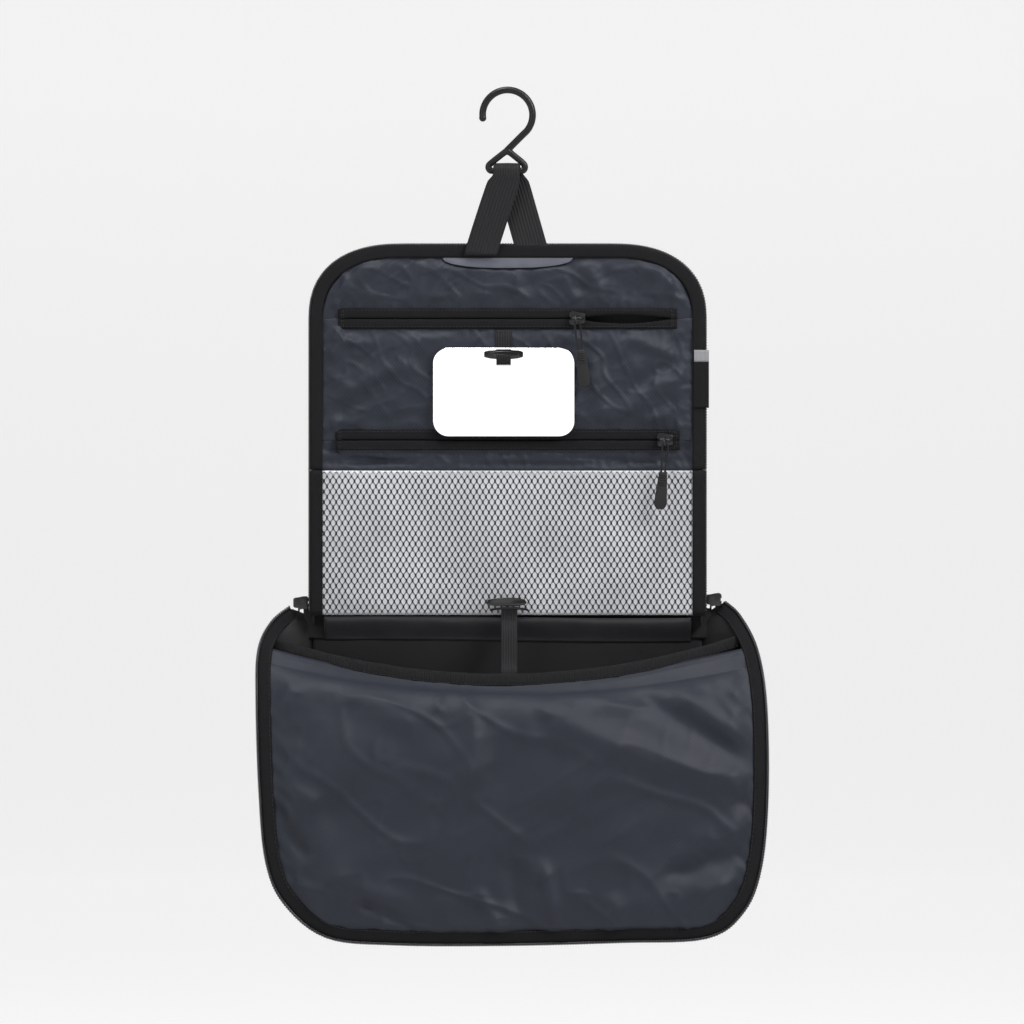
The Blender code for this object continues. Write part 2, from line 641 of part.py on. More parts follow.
def build():
    clear_scene()
    hook()
    hanging_strap()
    flap_shells()
    flap_edges()
    linings()
    pocket_zip("zip_1", ZIP1_Z, ZIP1_HALF, ZIP1_SLIDER_X, 2.2, 3.0)
    pocket_zip("zip_2", ZIP2_Z, ZIP2_HALF, ZIP2_SLIDER_X, 0.0, 0.0)
    slider_set("zip_1", (ZIP1_SLIDER_X, 0, ZIP1_Z), tilt=math.radians(-7.0))
    slider_set("zip_2", (ZIP2_SLIDER_X, 0, ZIP2_Z), tilt=math.radians(5.0))
    slider_set("rim_left", (-130.4, 7.0, -321.0), flip=True)
    slider_set("rim_right", (130.4, 7.0, -319.0), flip=True)
    mirror_group()
    mesh_pocket()
    pouch_shell()
    pouch_zip()
    front_panel()
    toggle_strap()


build()
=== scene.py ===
"""A hanging toiletry bag, shown open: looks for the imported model, piece by piece, in the same frame."""
import math

import bmesh
import bpy
from mathutils import Euler, Matrix, Vector, noise


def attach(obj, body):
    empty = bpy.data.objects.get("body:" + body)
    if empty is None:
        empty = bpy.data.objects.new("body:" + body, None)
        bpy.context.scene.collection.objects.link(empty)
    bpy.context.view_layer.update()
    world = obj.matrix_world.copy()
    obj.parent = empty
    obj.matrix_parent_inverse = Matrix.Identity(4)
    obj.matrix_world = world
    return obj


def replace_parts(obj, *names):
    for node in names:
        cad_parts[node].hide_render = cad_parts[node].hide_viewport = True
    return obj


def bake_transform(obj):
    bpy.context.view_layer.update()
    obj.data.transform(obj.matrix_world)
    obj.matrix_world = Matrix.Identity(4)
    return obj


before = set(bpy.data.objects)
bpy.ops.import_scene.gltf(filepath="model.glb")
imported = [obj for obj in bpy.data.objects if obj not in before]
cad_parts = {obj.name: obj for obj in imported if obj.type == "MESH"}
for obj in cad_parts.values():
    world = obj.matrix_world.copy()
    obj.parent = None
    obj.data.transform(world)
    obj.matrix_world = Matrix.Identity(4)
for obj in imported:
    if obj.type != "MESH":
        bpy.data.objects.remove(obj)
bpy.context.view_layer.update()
MM = 0.001

# Places and sizes in millimetres, in the row frame: the front faces -Y, the hook's inside top is the origin.
# A STATION is (rim x, rim z, depth, back x, back z), from the left hinge round the bottom to the right one.
# RIM_STEPS is how many steps the smoothed rim takes between stations, and a STEP counts them.
FLAP_HALF = 125.7
FLAP_TOP = -94.2
CORNER_X = 60.0
CORNER_Z = 48.0
CORNER_POWER = 2.4
BEND_Z = -237.2
HINGE_Z = -329.0
BACK_Y = 13.3
COIL_Y = 1.9
TAPE_Y = 0.9
LINING_Y = 2.0
ZIPS = {"zip_1": (-141.75, 106.8, 43.8), "zip_2": (-218.3, 108.5, 99.2)}
ZIP_HALF = 6.4
BACK_SPLIT_Z = -283.0
STATIONS = [
    (-138, -323.5, 4, -120.5, -331), (-149, -333, 14, -122, -337), (-156.2, -350, 32, -123.5, -352),
    (-156.4, -380, 50, -124.5, -380), (-154, -436, 62, -124, -425), (-149.5, -480, 68, -121, -462),
    (-138, -506, 71, -113, -483), (-112, -526.5, 72, -92, -498), (-70, -531, 72, -58, -502),
    (0, -531.3, 72, 0, -503), (70, -529.5, 72, 58, -502), (123, -527, 72, 92, -498),
    (146, -511, 71, 113, -483), (157, -484, 68, 121, -462), (161.4, -440, 62, 124, -425),
    (161.2, -384, 50, 124.5, -380), (156.5, -350, 32, 123.5, -352), (146.5, -329, 14, 122, -337),
    (137, -320, 4, 120.5, -331),
]
RIM_STEPS = 6
MOUTH_STEP = 9
FLOOR_STEP = 42
MOUTH_INSET = 6.8
PANEL_INSET = 6.0
PANEL_COLUMNS = 150
RIM_TAPE = (1.0, 9.0)
SAG_Z = 23.0
SAG_Y = 14.0
EDGE_TAPE = (1.5, 9.0)
EDGE_SEAM = 8.3
EDGE_COIL = 0.95
GUSSET_INSET = 3.3
FACING_HALF = 41.2
FACING_TOP = -103.5
FACING_DROP = 6.3
FACING_POWER = 2.6
MIRROR = (-46.9, 42.2, -216.1, -160.3)
MIRROR_Y = -3.6
SLOT_X = -2.5
SLOT_Z = -165.0


# --- materials ---
class Look:
    """One procedural material and short ways to add nodes to it."""

    def __init__(self, name, colour, roughness, metallic=0.0, specular=0.5, sheen=0.0, coat=0.0):
        self.material = bpy.data.materials.new(name)
        self.material.use_nodes = True
        self.tree = self.material.node_tree
        self.shader = self.tree.nodes["Principled BSDF"]
        self.shader.inputs["Base Color"].default_value = (*colour, 1.0)
        self.shader.inputs["Roughness"].default_value = roughness
        self.shader.inputs["Metallic"].default_value = metallic
        self.shader.inputs["Specular IOR Level"].default_value = specular
        self.shader.inputs["Sheen Weight"].default_value = sheen
        self.shader.inputs["Sheen Roughness"].default_value = 0.4
        self.shader.inputs["Coat Weight"].default_value = coat
        self.colour = colour

    def add(self, kind, **settings):
        made = self.tree.nodes.new(kind)
        for key, value in settings.items():
            setattr(made, key, value)
        return made

    def math(self, operation, a, b=0.0):
        made = self.add("ShaderNodeMath", operation=operation)
        for socket, value in zip(made.inputs, (a, b)):
            if isinstance(value, (int, float)):
                socket.default_value = value
            else:
                self.tree.links.new(value, socket)
        return made.outputs[0]

    def place(self, kind):
        """The surface's own coordinates in millimetres: kind is UV or Object."""
        source = self.add("ShaderNodeTexCoord").outputs[kind]
        scaled = self.add("ShaderNodeVectorMath", operation="SCALE")
        scaled.inputs["Scale"].default_value = 1000.0
        self.tree.links.new(source, scaled.inputs[0])
        return scaled.outputs[0]

    def axes(self, vector):
        split = self.add("ShaderNodeSeparateXYZ")
        self.tree.links.new(vector, split.inputs[0])
        return split.outputs

    def noise(self, vector, scale, detail=3.0):
        made = self.add("ShaderNodeTexNoise")
        made.inputs["Scale"].default_value = scale
        made.inputs["Detail"].default_value = detail
        self.tree.links.new(vector, made.inputs["Vector"])
        return made.outputs[0]

    def wave(self, value, pitch):
        """A smooth ridge from 0 to 1 once every pitch."""
        turned = self.math("SINE", self.math("MULTIPLY", value, 2 * math.pi / pitch))
        return self.math("ADD", self.math("MULTIPLY", turned, 0.5), 0.5)

    def total(self, *terms):
        """A weighted sum of (value, weight) pairs."""
        result = None
        for value, weight in terms:
            part = self.math("MULTIPLY", value, weight)
            result = part if result is None else self.math("ADD", result, part)
        return result

    def tint(self, factor, light):
        """The base colour moves towards light as factor goes from 0 to 1."""
        mix = self.add("ShaderNodeMix", data_type="RGBA")
        mix.clamp_factor = True
        self.tree.links.new(factor, mix.inputs[0])
        mix.inputs[6].default_value = (*self.colour, 1.0)
        mix.inputs[7].default_value = (*light, 1.0)
        self.tree.links.new(mix.outputs[2], self.shader.inputs["Base Color"])

    def bump(self, height, distance, strength=1.0):
        made = self.add("ShaderNodeBump")
        made.inputs["Strength"].default_value = strength
        made.inputs["Distance"].default_value = distance * MM
        self.tree.links.new(height, made.inputs["Height"])
        self.tree.links.new(made.outputs[0], self.shader.inputs["Normal"])

    def rough(self, factor, low, high):
        span = self.math("ADD", self.math("MULTIPLY", factor, high - low), low)
        self.tree.links.new(span, self.shader.inputs["Roughness"])


def dobby(name, colour, light, roughness, sheen):
    """Light nylon with a faint diamond figure in its weave."""
    look = Look(name, colour, roughness, specular=0.27, sheen=sheen)
    spot = look.place("UV")
    u, v = look.axes(spot)[0:2]
    slant_a = look.math("ADD", look.math("MULTIPLY", u, 1 / 2.3), look.math("MULTIPLY", v, 1 / 2.9))
    slant_b = look.math("SUBTRACT", look.math("MULTIPLY", u, 1 / 2.3), look.math("MULTIPLY", v, 1 / 2.9))
    lines = []
    for slant in (slant_a, slant_b):
        away = look.math("ABSOLUTE", look.math("SUBTRACT", look.math("FRACT", slant), 0.5))
        lines.append(look.math("LESS_THAN", away, 0.07))
    line = look.math("MAXIMUM", lines[0], lines[1])
    cloudy = look.noise(spot, 0.035, 4.0)
    weave = look.math("MULTIPLY", look.wave(u, 0.42), look.wave(v, 0.42))
    grain = look.noise(spot, 3.0, 2.0)
    look.tint(look.total((line, 0.34), (cloudy, 0.35), (weave, 0.12), (grain, 0.16)), light)
    look.bump(look.total((line, 0.5), (weave, 0.35), (grain, 0.35)), 0.09, 0.7)
    look.rough(cloudy, roughness - 0.07, roughness + 0.1)
    return look.material


def plain_weave(name, colour, light, roughness, pitch=0.5, sheen=0.1, depth=0.1):
    """Plain woven cloth with some unevenness in its yarns."""
    look = Look(name, colour, roughness, specular=0.25, sheen=sheen)
    spot = look.place("UV")
    u, v = look.axes(spot)[0:2]
    weave = look.math("MULTIPLY", look.wave(u, pitch), look.wave(v, pitch))
    cloudy = look.noise(spot, 0.06, 4.0)
    grain = look.noise(spot, 2.5, 2.0)
    look.tint(look.total((weave, 0.35), (cloudy, 0.4), (grain, 0.3)), light)
    look.bump(look.total((weave, 0.8), (grain, 0.4)), depth, 0.8)
    return look.material


def ribbed(name, colour, light, roughness, rib, cross, specular=0.18):
    """Webbing or tape: ribs along its length, fine picks across it."""
    look = Look(name, colour, roughness, specular=specular, sheen=0.02)
    spot = look.place("UV")
    u, v = look.axes(spot)[0:2]
    ribs = look.wave(u, rib)
    picks = look.wave(look.math("ADD", v, look.math("MULTIPLY", ribs, cross * 0.5)), cross)
    fuzz = look.noise(spot, 2.2, 3.0)
    look.tint(look.total((ribs, 0.45), (picks, 0.2), (fuzz, 0.45)), light)
    look.bump(look.total((ribs, 1.0), (picks, 0.35), (fuzz, 0.3)), 0.22, 0.9)
    return look.material


def moulded(name, colour, light, roughness, coat=0.0, metallic=0.0, specular=0.5, grain=1.2, depth=0.03):
    """Plastic, rubber or painted metal: fine grain, slight wear in its gloss."""
    look = Look(name, colour, roughness, metallic=metallic, specular=specular, coat=coat)
    spot = look.place("Object")
    fine = look.noise(spot, grain, 3.0)
    broad = look.noise(spot, 0.11, 3.0)
    look.tint(look.total((broad, 0.5), (fine, 0.25)), light)
    look.rough(broad, max(0.02, roughness - 0.08), roughness + 0.1)
    look.bump(fine, depth, 0.6)
    return look.material


def frosted(name):
    """Frosted vinyl film: pale, hazy, lets a little of what is behind it through."""
    look = Look(name, (0.30, 0.31, 0.33), 0.34, specular=0.5, coat=0.15)
    spot = look.place("Object")
    haze = look.noise(spot, 0.022, 3.0)
    fine = look.noise(spot, 0.9, 2.0)
    look.tint(look.total((haze, 1.0), (fine, 0.1)), (0.62, 0.63, 0.66))
    look.shader.inputs["Alpha"].default_value = 0.9
    look.bump(look.total((haze, 2.0), (fine, 0.2)), 0.4, 0.5)
    look.rough(haze, 0.25, 0.45)
    return look.material


def silvered(name):
    """Mirror: bright metal behind a clear gloss, with a very faint haze."""
    look = Look(name, (0.96, 0.965, 0.97), 0.03, metallic=1.0)
    spot = look.place("Object")
    haze = look.noise(spot, 0.05, 2.0)
    look.tint(haze, (0.98, 0.98, 0.985))
    look.rough(haze, 0.015, 0.05)
    return look.material


LINING = dobby("lining_navy_dobby", (0.0070, 0.0086, 0.0148), (0.0215, 0.0250, 0.0390), 0.52, 0.02)
OUTER = plain_weave("outer_black_nylon", (0.0050, 0.0050, 0.0060), (0.016, 0.016, 0.018), 0.55, sheen=0.03)
INNER = plain_weave("inner_black_cloth", (0.0040, 0.0040, 0.0045), (0.012, 0.012, 0.013), 0.6, sheen=0.02)
BAND = plain_weave("coated_grey_cloth", (0.016, 0.016, 0.018), (0.045, 0.045, 0.050), 0.3, 0.7, 0.0, 0.05)
GREY = plain_weave("grey_facing_cloth", (0.054, 0.057, 0.072), (0.115, 0.120, 0.146), 0.6, 0.6, 0.05)
WEBBING = ribbed("black_webbing", (0.0035, 0.0035, 0.0040), (0.015, 0.015, 0.0165), 0.66, 1.6, 0.9)
TAPE = ribbed("zip_tape", (0.0022, 0.0022, 0.0026), (0.0085, 0.0085, 0.0098), 0.66, 0.7, 0.5, 0.12)
BINDING = ribbed("mouth_binding", (0.0025, 0.0025, 0.0029), (0.010, 0.010, 0.0115), 0.6, 1.1, 0.6, 0.15)
PALE_TAPE = ribbed("label_grey_band", (0.15, 0.155, 0.165), (0.28, 0.28, 0.29), 0.6, 0.8, 0.6)
COIL = moulded("zip_coil_nylon", (0.0045, 0.0045, 0.0050), (0.024, 0.024, 0.027), 0.30, specular=0.5)
METAL = moulded("slider_black_metal", (0.012, 0.012, 0.013), (0.035, 0.035, 0.037), 0.3, metallic=0.4, coat=0.15)
RUBBER = moulded("grip_rubber", (0.0070, 0.0070, 0.0075), (0.017, 0.017, 0.018), 0.62, specular=0.25, depth=0.06)
HOOK = moulded("hook_satin_plastic", (0.0035, 0.0035, 0.0038), (0.008, 0.008, 0.0085), 0.40, specular=0.3, depth=0.05)
GLOSS = moulded("toggle_gloss_plastic", (0.0040, 0.0040, 0.0045), (0.009, 0.009, 0.010), 0.18, coat=0.25)
FOAM = moulded("foam_grey", (0.10, 0.10, 0.11), (0.20, 0.20, 0.21), 0.85, specular=0.2, grain=0.9, depth=0.3)
FILM = frosted("frosted_film")
NET = moulded("net_black_yarn", (0.0060, 0.0060, 0.0065), (0.018, 0.018, 0.020), 0.55, specular=0.3, grain=3.0,
              depth=0.08)
MIRROR_LOOK = silvered("mirror_silver")
THREAD = moulded("black_thread", (0.0060, 0.0060, 0.0065), (0.030, 0.030, 0.033), 0.6, specular=0.3, grain=3.0)
PALE_THREAD = moulded("pale_thread", (0.42, 0.42, 0.44), (0.7, 0.7, 0.7), 0.6, grain=3.0)
CORD_LOOK = ribbed("cord_black", (0.0045, 0.0045, 0.0050), (0.020, 0.020, 0.022), 0.55, 0.5, 0.7)


# --- shape helpers ---
def linked(name, data):
    """A new object in the scene."""
    made = bpy.data.objects.new(name, data)
    bpy.context.scene.collection.objects.link(made)
    return made


def new_piece(name, mesh, look, body=None):
    piece = linked(name, mesh)
    mesh.materials.append(look)
    if body:
        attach(piece, body)
    return piece


def finished(bm, name):
    """Turns a bmesh drawn in millimetres into a mesh in metres."""
    bmesh.ops.transform(bm, matrix=Matrix.Scale(MM, 4), verts=bm.verts)
    for face in bm.faces:
        face.smooth = True
    mesh = bpy.data.meshes.new(name)
    bm.to_mesh(mesh)
    bm.free()
    return mesh


def apply_modifiers(piece):
    """Leaves the piece's modifiers in its mesh."""
    depsgraph = bpy.context.evaluated_depsgraph_get()
    mesh = bpy.data.meshes.new_from_object(piece.evaluated_get(depsgraph))
    piece.modifiers.clear()
    piece.data = mesh


def sheet(name, rows, thick, look, body=None, planar=False, double=None):
    """A cloth from rows of points, top row first and left point first; thick goes backward from the rows."""
    bm = bmesh.new()
    layer = bm.loops.layers.uv.new("UVMap")
    grid = [[bm.verts.new(p) for p in row] for row in rows]
    across, down = [0.0], [0.0]
    middle = rows[len(rows) // 2]
    for a, b in zip(middle, middle[1:]):
        across.append(across[-1] + (Vector(b) - Vector(a)).length)
    column = [row[len(row) // 2] for row in rows]
    for a, b in zip(column, column[1:]):
        down.append(down[-1] + (Vector(b) - Vector(a)).length)
    for i in range(len(grid) - 1):
        for j in range(len(grid[0]) - 1):
            corners = ((i, j), (i + 1, j), (i + 1, j + 1), (i, j + 1))
            face = bm.faces.new([grid[a][b] for a, b in corners])
            for loop, (a, b) in zip(face.loops, corners):
                point = rows[a][b]
                spot = (point[0], point[2]) if planar else (across[b], down[a])
                loop[layer].uv = (spot[0] * MM, spot[1] * MM)
    piece = new_piece(name, finished(bm, name), look, body)
    if thick:
        wall = piece.modifiers.new("thickness", "SOLIDIFY")
        wall.thickness = thick * MM
        wall.offset = -1.0
        if double:
            piece.data.materials.append(double)
            wall.material_offset = 1
        apply_modifiers(piece)
    return piece


def tube(name, points, radius, look, body=None, cyclic=False, sides=8):
    """A round wire or cord along points, its ends closed."""
    line = catmull(points, 4, cyclic)
    bm = bmesh.new()
    layer = bm.loops.layers.uv.new("UVMap")
    count = len(line)
    rings, travelled, normal = [], [0.0], None
    for n, point in enumerate(line):
        before = line[n - 1] if n or cyclic else line[0]
        after = line[(n + 1) % count] if n < count - 1 or cyclic else line[-1]
        way = (after - before).normalized()
        if normal is None:
            normal = way.orthogonal().normalized()
        normal = (normal - way * normal.dot(way)).normalized()
        other = way.cross(normal)
        rings.append([bm.verts.new(point + radius * (math.cos(a) * normal + math.sin(a) * other))
                      for a in (2 * math.pi * k / sides for k in range(sides))])
        travelled.append(travelled[-1] + (line[(n + 1) % count] - point).length)
    round_it = 2 * math.pi * radius / sides
    spans = count if cyclic else count - 1
    for n in range(spans):
        here, there = rings[n], rings[(n + 1) % count]
        for k in range(sides):
            face = bm.faces.new((here[k], here[(k + 1) % sides], there[(k + 1) % sides], there[k]))
            for loop, (u, v) in zip(face.loops, ((k, n), (k + 1, n), (k + 1, n + 1), (k, n + 1))):
                loop[layer].uv = (u * round_it * MM, travelled[v] * MM)
    if not cyclic:
        bm.faces.new(rings[0][::-1])
        bm.faces.new(rings[-1])
    bmesh.ops.recalc_face_normals(bm, faces=bm.faces)
    return new_piece(name, finished(bm, name), look, body)


def catmull(points, steps, cyclic=False):
    """A smooth line through points."""
    points = [Vector(p) for p in points]
    count = len(points)
    line = []
    for n in range(count if cyclic else count - 1):
        if cyclic:
            a, b, c, d = (points[(n + k) % count] for k in (-1, 0, 1, 2))
        else:
            a, b, c, d = (points[min(max(n + k, 0), count - 1)] for k in (-1, 0, 1, 2))
        for step in range(steps):
            t = step / steps
            line.append(0.5 * ((2 * b) + (c - a) * t + (2 * a - 5 * b + 4 * c - d) * t * t
                               + (3 * b - a - 3 * c + d) * t ** 3))
    if not cyclic:
        line.append(points[-1])
    return line


def evenly(line, pitch, count=None):
    """The line's points again, spaced about pitch apart, or in count equal steps."""
    line = [Vector(p) for p in line]
    lengths = [0.0]
    for a, b in zip(line, line[1:]):
        lengths.append(lengths[-1] + (b - a).length)
    count = count or max(2, round(lengths[-1] / pitch))
    result, n = [], 0
    for k in range(count + 1):
        want = lengths[-1] * k / count
        while n < len(line) - 2 and lengths[n + 1] < want:
            n += 1
        span = max(lengths[n + 1] - lengths[n], 1e-9)
        result.append(line[n].lerp(line[n + 1], (want - lengths[n]) / span))
    return result


def skin(bm, rings):
    """Faces round and along a row of equal rings, and one over each end."""
    sides = len(rings[0])
    for here, there in zip(rings, rings[1:]):
        for k in range(sides):
            bm.faces.new((here[k], here[(k + 1) % sides], there[(k + 1) % sides], there[k]))
    bm.faces.new(rings[0][::-1])
    bm.faces.new(rings[-1])


def along(points, n):
    """The line's direction at point n, and the two directions across it: to its side and to its front."""
    way = (points[min(n + 1, len(points) - 1)] - points[max(n - 1, 0)]).normalized()
    side = way.cross(Vector((0, -1, 0))).normalized()
    return way, side, side.cross(way)


def coil(name, line, body, radius=0.76, wire=0.40, pitch=1.75, phase=0.0):
    """A nylon zip coil: one wire wound round the line, with a core in it."""
    points = evenly(line, pitch / 8)
    bm = bmesh.new()
    rings = []
    for n, point in enumerate(points):
        way, side, up = along(points, n)
        angle = 2 * math.pi * n / 8 + phase
        out = math.cos(angle) * side + math.sin(angle) * up
        centre = point + radius * out
        lead = (way * 0.6 + (math.cos(angle + 1.57) * side + math.sin(angle + 1.57) * up)).normalized()
        across = lead.cross(out).normalized()
        rings.append([bm.verts.new(centre + wire * (math.cos(a) * out + math.sin(a) * across))
                      for a in (2 * math.pi * k / 5 for k in range(5))])
    skin(bm, rings)
    core = []
    for n in range(0, len(points), 4):
        way, side, up = along(points, n)
        core.append([bm.verts.new(points[n] + (radius - 0.12) * (math.cos(a) * side + math.sin(a) * up))
                     for a in (2 * math.pi * k / 6 for k in range(6))])
    skin(bm, core)
    bmesh.ops.recalc_face_normals(bm, faces=bm.faces)
    return new_piece(name, finished(bm, name), COIL, body)


def stitches(name, line, body, look=THREAD, stitch=2.0, gap=0.9, width=0.42):
    """A row of sewn stitches: short rounded threads along the line."""
    out = Vector((0, -1, 0))
    points = evenly(line, stitch + gap)
    bm = bmesh.new()
    for a, b in zip(points, points[1:]):
        way = (b - a).normalized()
        side = way.cross(out).normalized() * width / 2
        end = a + way * stitch
        low, high = out * -0.15, out * 0.22
        ring = [(a, 0.35, low), (a + way * 0.35, 1.0, high), (end - way * 0.35, 1.0, high), (end, 0.35, low)]
        rows = [[bm.verts.new(p + side * s + h), bm.verts.new(p + h * 1.3), bm.verts.new(p - side * s + h),
                 bm.verts.new(p + low)] for p, s, h in ring]
        skin(bm, rows)
    bmesh.ops.recalc_face_normals(bm, faces=bm.faces)
    return new_piece(name, finished(bm, name), look, body)


def plate(name, outline, y, thick, look, body=None, bevel=0.3, segments=3):
    """A flat piece facing -Y cut to an outline of (x, z), with rounded edges."""
    bm = bmesh.new()
    face = bm.faces.new([bm.verts.new((x, y, z)) for x, z in outline])
    bm.normal_update()
    if face.normal.y > 0:
        face.normal_flip()
    back = bmesh.ops.extrude_face_region(bm, geom=[face])
    moved = [part for part in back["geom"] if isinstance(part, bmesh.types.BMVert)]
    bmesh.ops.translate(bm, verts=moved, vec=(0, thick, 0))
    bmesh.ops.recalc_face_normals(bm, faces=bm.faces)
    piece = new_piece(name, finished(bm, name), look, body)
    rounding = piece.modifiers.new("rounding", "BEVEL")
    rounding.width = bevel * MM
    rounding.segments = segments
    rounding.limit_method = "ANGLE"
    apply_modifiers(piece)
    return piece


def merge(name, *parts):
    """One piece from several, keeping the first one's body and looks."""
    bpy.ops.object.select_all(action="DESELECT")
    for part in parts:
        part.select_set(True)
    bpy.context.view_layer.objects.active = parts[0]
    bpy.ops.object.join()
    parts[0].name = name
    return parts[0]


def flap_half(z, inset=0.0):
    """Half the flap's width at height z, its outline drawn in by inset."""
    centre = FLAP_TOP - CORNER_Z
    if z <= centre:
        return FLAP_HALF - inset
    t = min(1.0, (z - centre) / (CORNER_Z - inset))
    return FLAP_HALF - CORNER_X + (CORNER_X - inset) * (1 - t ** CORNER_POWER) ** (1 / CORNER_POWER)


def flap_edge(inset, y, low=BEND_Z, steps=14):
    """The flap's outline from the left side at low, over the top, to the right side at low."""
    def corner(side):
        turn = []
        for n in range(steps + 1):
            a = math.pi / 2 * n / steps
            x = FLAP_HALF - CORNER_X + (CORNER_X - inset) * math.cos(a) ** (2 / CORNER_POWER)
            z = FLAP_TOP - CORNER_Z + (CORNER_Z - inset) * math.sin(a) ** (2 / CORNER_POWER)
            turn.append((side * x, y, z))
        return turn
    return [(-FLAP_HALF + inset, y, low)] + corner(-1) + corner(1)[::-1] + [(FLAP_HALF - inset, y, low)]


def spaced(low, high, pitch):
    """Values from low to high in equal steps of about pitch."""
    count = max(1, round(abs(high - low) / pitch))
    return [low + (high - low) * n / count for n in range(count + 1)]


def ease(t):
    """0 below 0, 1 above 1, and smooth between."""
    t = min(1.0, max(0.0, t))
    return t * t * (3 - 2 * t)


def crease(x, z, folds):
    """The height at (x, z) of soft ridges, each (x0, z0, x1, z1, width, height)."""
    total = 0.0
    for x0, z0, x1, z1, width, height in folds:
        dx, dz = x1 - x0, z1 - z0
        long = math.hypot(dx, dz)
        t = ((x - x0) * dx + (z - z0) * dz) / long ** 2
        off = ((x - x0) * dz - (z - z0) * dx) / long
        off += 0.35 * width * noise.noise(Vector((x, z, height * 7)) * 0.03)
        fade = ease((t + 0.12) / 0.3) * ease((1.12 - t) / 0.3)
        if fade <= 0 or abs(off) > 4 * width:
            continue
        total += height * fade * math.exp(-(off / width) ** 2)
    return total


def crumple(x, z, scale, slant=0.0, stretch=2.5, seed=0.0):
    """Soft uneven relief from -1 to 1, its folds longer along the slant (radians from X)."""
    along = x * math.cos(slant) + z * math.sin(slant)
    over = -x * math.sin(slant) + z * math.cos(slant)
    return noise.noise(Vector((along / (scale * stretch), over / scale, seed)))


def sharp(x, z, scale, slant, seed):
    """Thin crisp ridges from 0 to 1, as in stiff nylon."""
    return max(0.0, 1 - abs(crumple(x, z, scale, slant, 2.4, seed)) / 0.16) ** 1.6


# --- hook and strap ---
def hook():
    """The moulded wire: an arc for the rail, a stem and the strap's triangle, fused where they cross."""
    centre = -13.55
    arc = [(15.75 * math.cos(math.radians(a)), 0, centre + 15.75 * math.sin(math.radians(a)))
           for a in [187 - 239.7 * n / 16 for n in range(17)]]
    stem = [(-0.3, 0, -35.9), (-9.6, 0, -43.2), (-11.9, 0, -45.6), (-11.6, 0, -47.8), (-9.5, 0, -48.8)]
    bar = [(0, 0, -48.8), (8.6, 0, -48.8), (10.5, 0, -47.9), (10.9, 0, -46), (9.4, 0, -43.6), (1.8, 0, -37.4)]
    upper = tube("hook_arc", arc + stem[:1], 2.2, HOOK, sides=20)
    lower = tube("hook_triangle", stem + bar, 2.05, HOOK, sides=20)
    bm = bmesh.new()
    for x, z, r in ((arc[0][0], arc[0][2], 2.35), (0.4, -36.4, 2.5)):
        bmesh.ops.create_uvsphere(bm, u_segments=20, v_segments=12, radius=r,
                                  matrix=Matrix.Translation((x, 0, z)))
    balls = new_piece("hook_ball", finished(bm, "hook_ball"), HOOK)
    piece = merge("hook_wire", upper, lower, balls)
    fuse = piece.modifiers.new("fuse", "REMESH")
    fuse.mode = "VOXEL"
    fuse.voxel_size = 0.32 * MM
    fuse.use_smooth_shade = True
    soft = piece.modifiers.new("soft", "SMOOTH")
    soft.iterations = 4
    apply_modifiers(piece)
    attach(piece, "hook")
    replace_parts(piece, "hook")


def strap():
    """One webbing over the triangle's lower bar; both legs end in the flap's top seam."""
    wrap = 3.05
    slant = math.radians(17.0)
    path = [(-17.3, 0.0, -102.1, slant), (-13.6, -0.2, -90.0, slant), (-8.9, -1.05, -75.5, slant),
            (-3.6, -2.2, -59.5, slant * 0.7), (-0.8, -wrap, -52.0, slant * 0.2)]
    for n in range(9):
        angle = math.pi * n / 8
        path.append((-0.9 + 1.0 * n / 8, -wrap * math.cos(angle), -48.8 + wrap * math.sin(angle), 0.0))
    path += [(2.2, wrap, -52.0, -slant * 0.2), (4.4, 2.2, -59.5, -slant * 0.7), (8.9, 1.05, -75.5, -slant),
             (13.0, 0.2, -90.0, -slant), (16.4, 0.0, -102.1, -slant)]
    spots = catmull([p[:3] for p in path], 4)
    leans = catmull([(p[3], 0, 0) for p in path], 4)
    rows = []
    for n, (spot, lean) in enumerate(zip(spots, leans)):
        way = (spots[min(n + 1, len(spots) - 1)] - spots[max(n - 1, 0)]).normalized()
        half = 8.2 + 1.8 * ease((-50.0 - spot.z) / 8.0)
        level = ease((spot.z + 102.1) / 6.0)
        across = Vector((math.cos(lean.x), 0, -math.sin(lean.x) * level)).normalized()
        out = across.cross(way).normalized()
        row = []
        for k in range(17):
            crown = 0.6 + 0.22 * math.cos(math.pi * (k / 16 - 0.5))
            row.append(tuple(spot + across * half * (k / 8 - 1) + out * crown))
        rows.append(row)
    piece = sheet("hanging_webbing", rows, 1.15, WEBBING, "strap")
    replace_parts(piece, "hanging_strap")
    tacks = [stitches(f"tack_{n}", [(-6.2, -3.1 + 0.06 * n, z), (2.9, -3.1 + 0.06 * n, z - 0.3)], "strap",
                      stitch=1.2, gap=0.3) for n, z in enumerate((-57.3, -58.3, -59.3))]
    tack = merge("strap_bar_tack", *tacks)


hook()
strap()


# --- the padded flap ---
def flap_cloth(name, inset, y, thick, low, look, pitch, relief, high=FLAP_TOP):
    """A cloth with the flap's outline between two heights; relief(x, z) moves it forward."""
    top = min(high, FLAP_TOP - inset)
    heights = [top - 0.04, top - 0.8, top - 2.4] + spaced(top - 5.0, low, pitch)
    columns = 2 * round(FLAP_HALF / pitch)
    rows = []
    for z in heights:
        half = flap_half(z, inset)
        row = []
        for k in range(columns + 1):
            x = half * (2 * k / columns - 1)
            row.append((x, y - relief(x, z), z))
        rows.append(row)
    return sheet(name, rows, thick, look, planar=True)


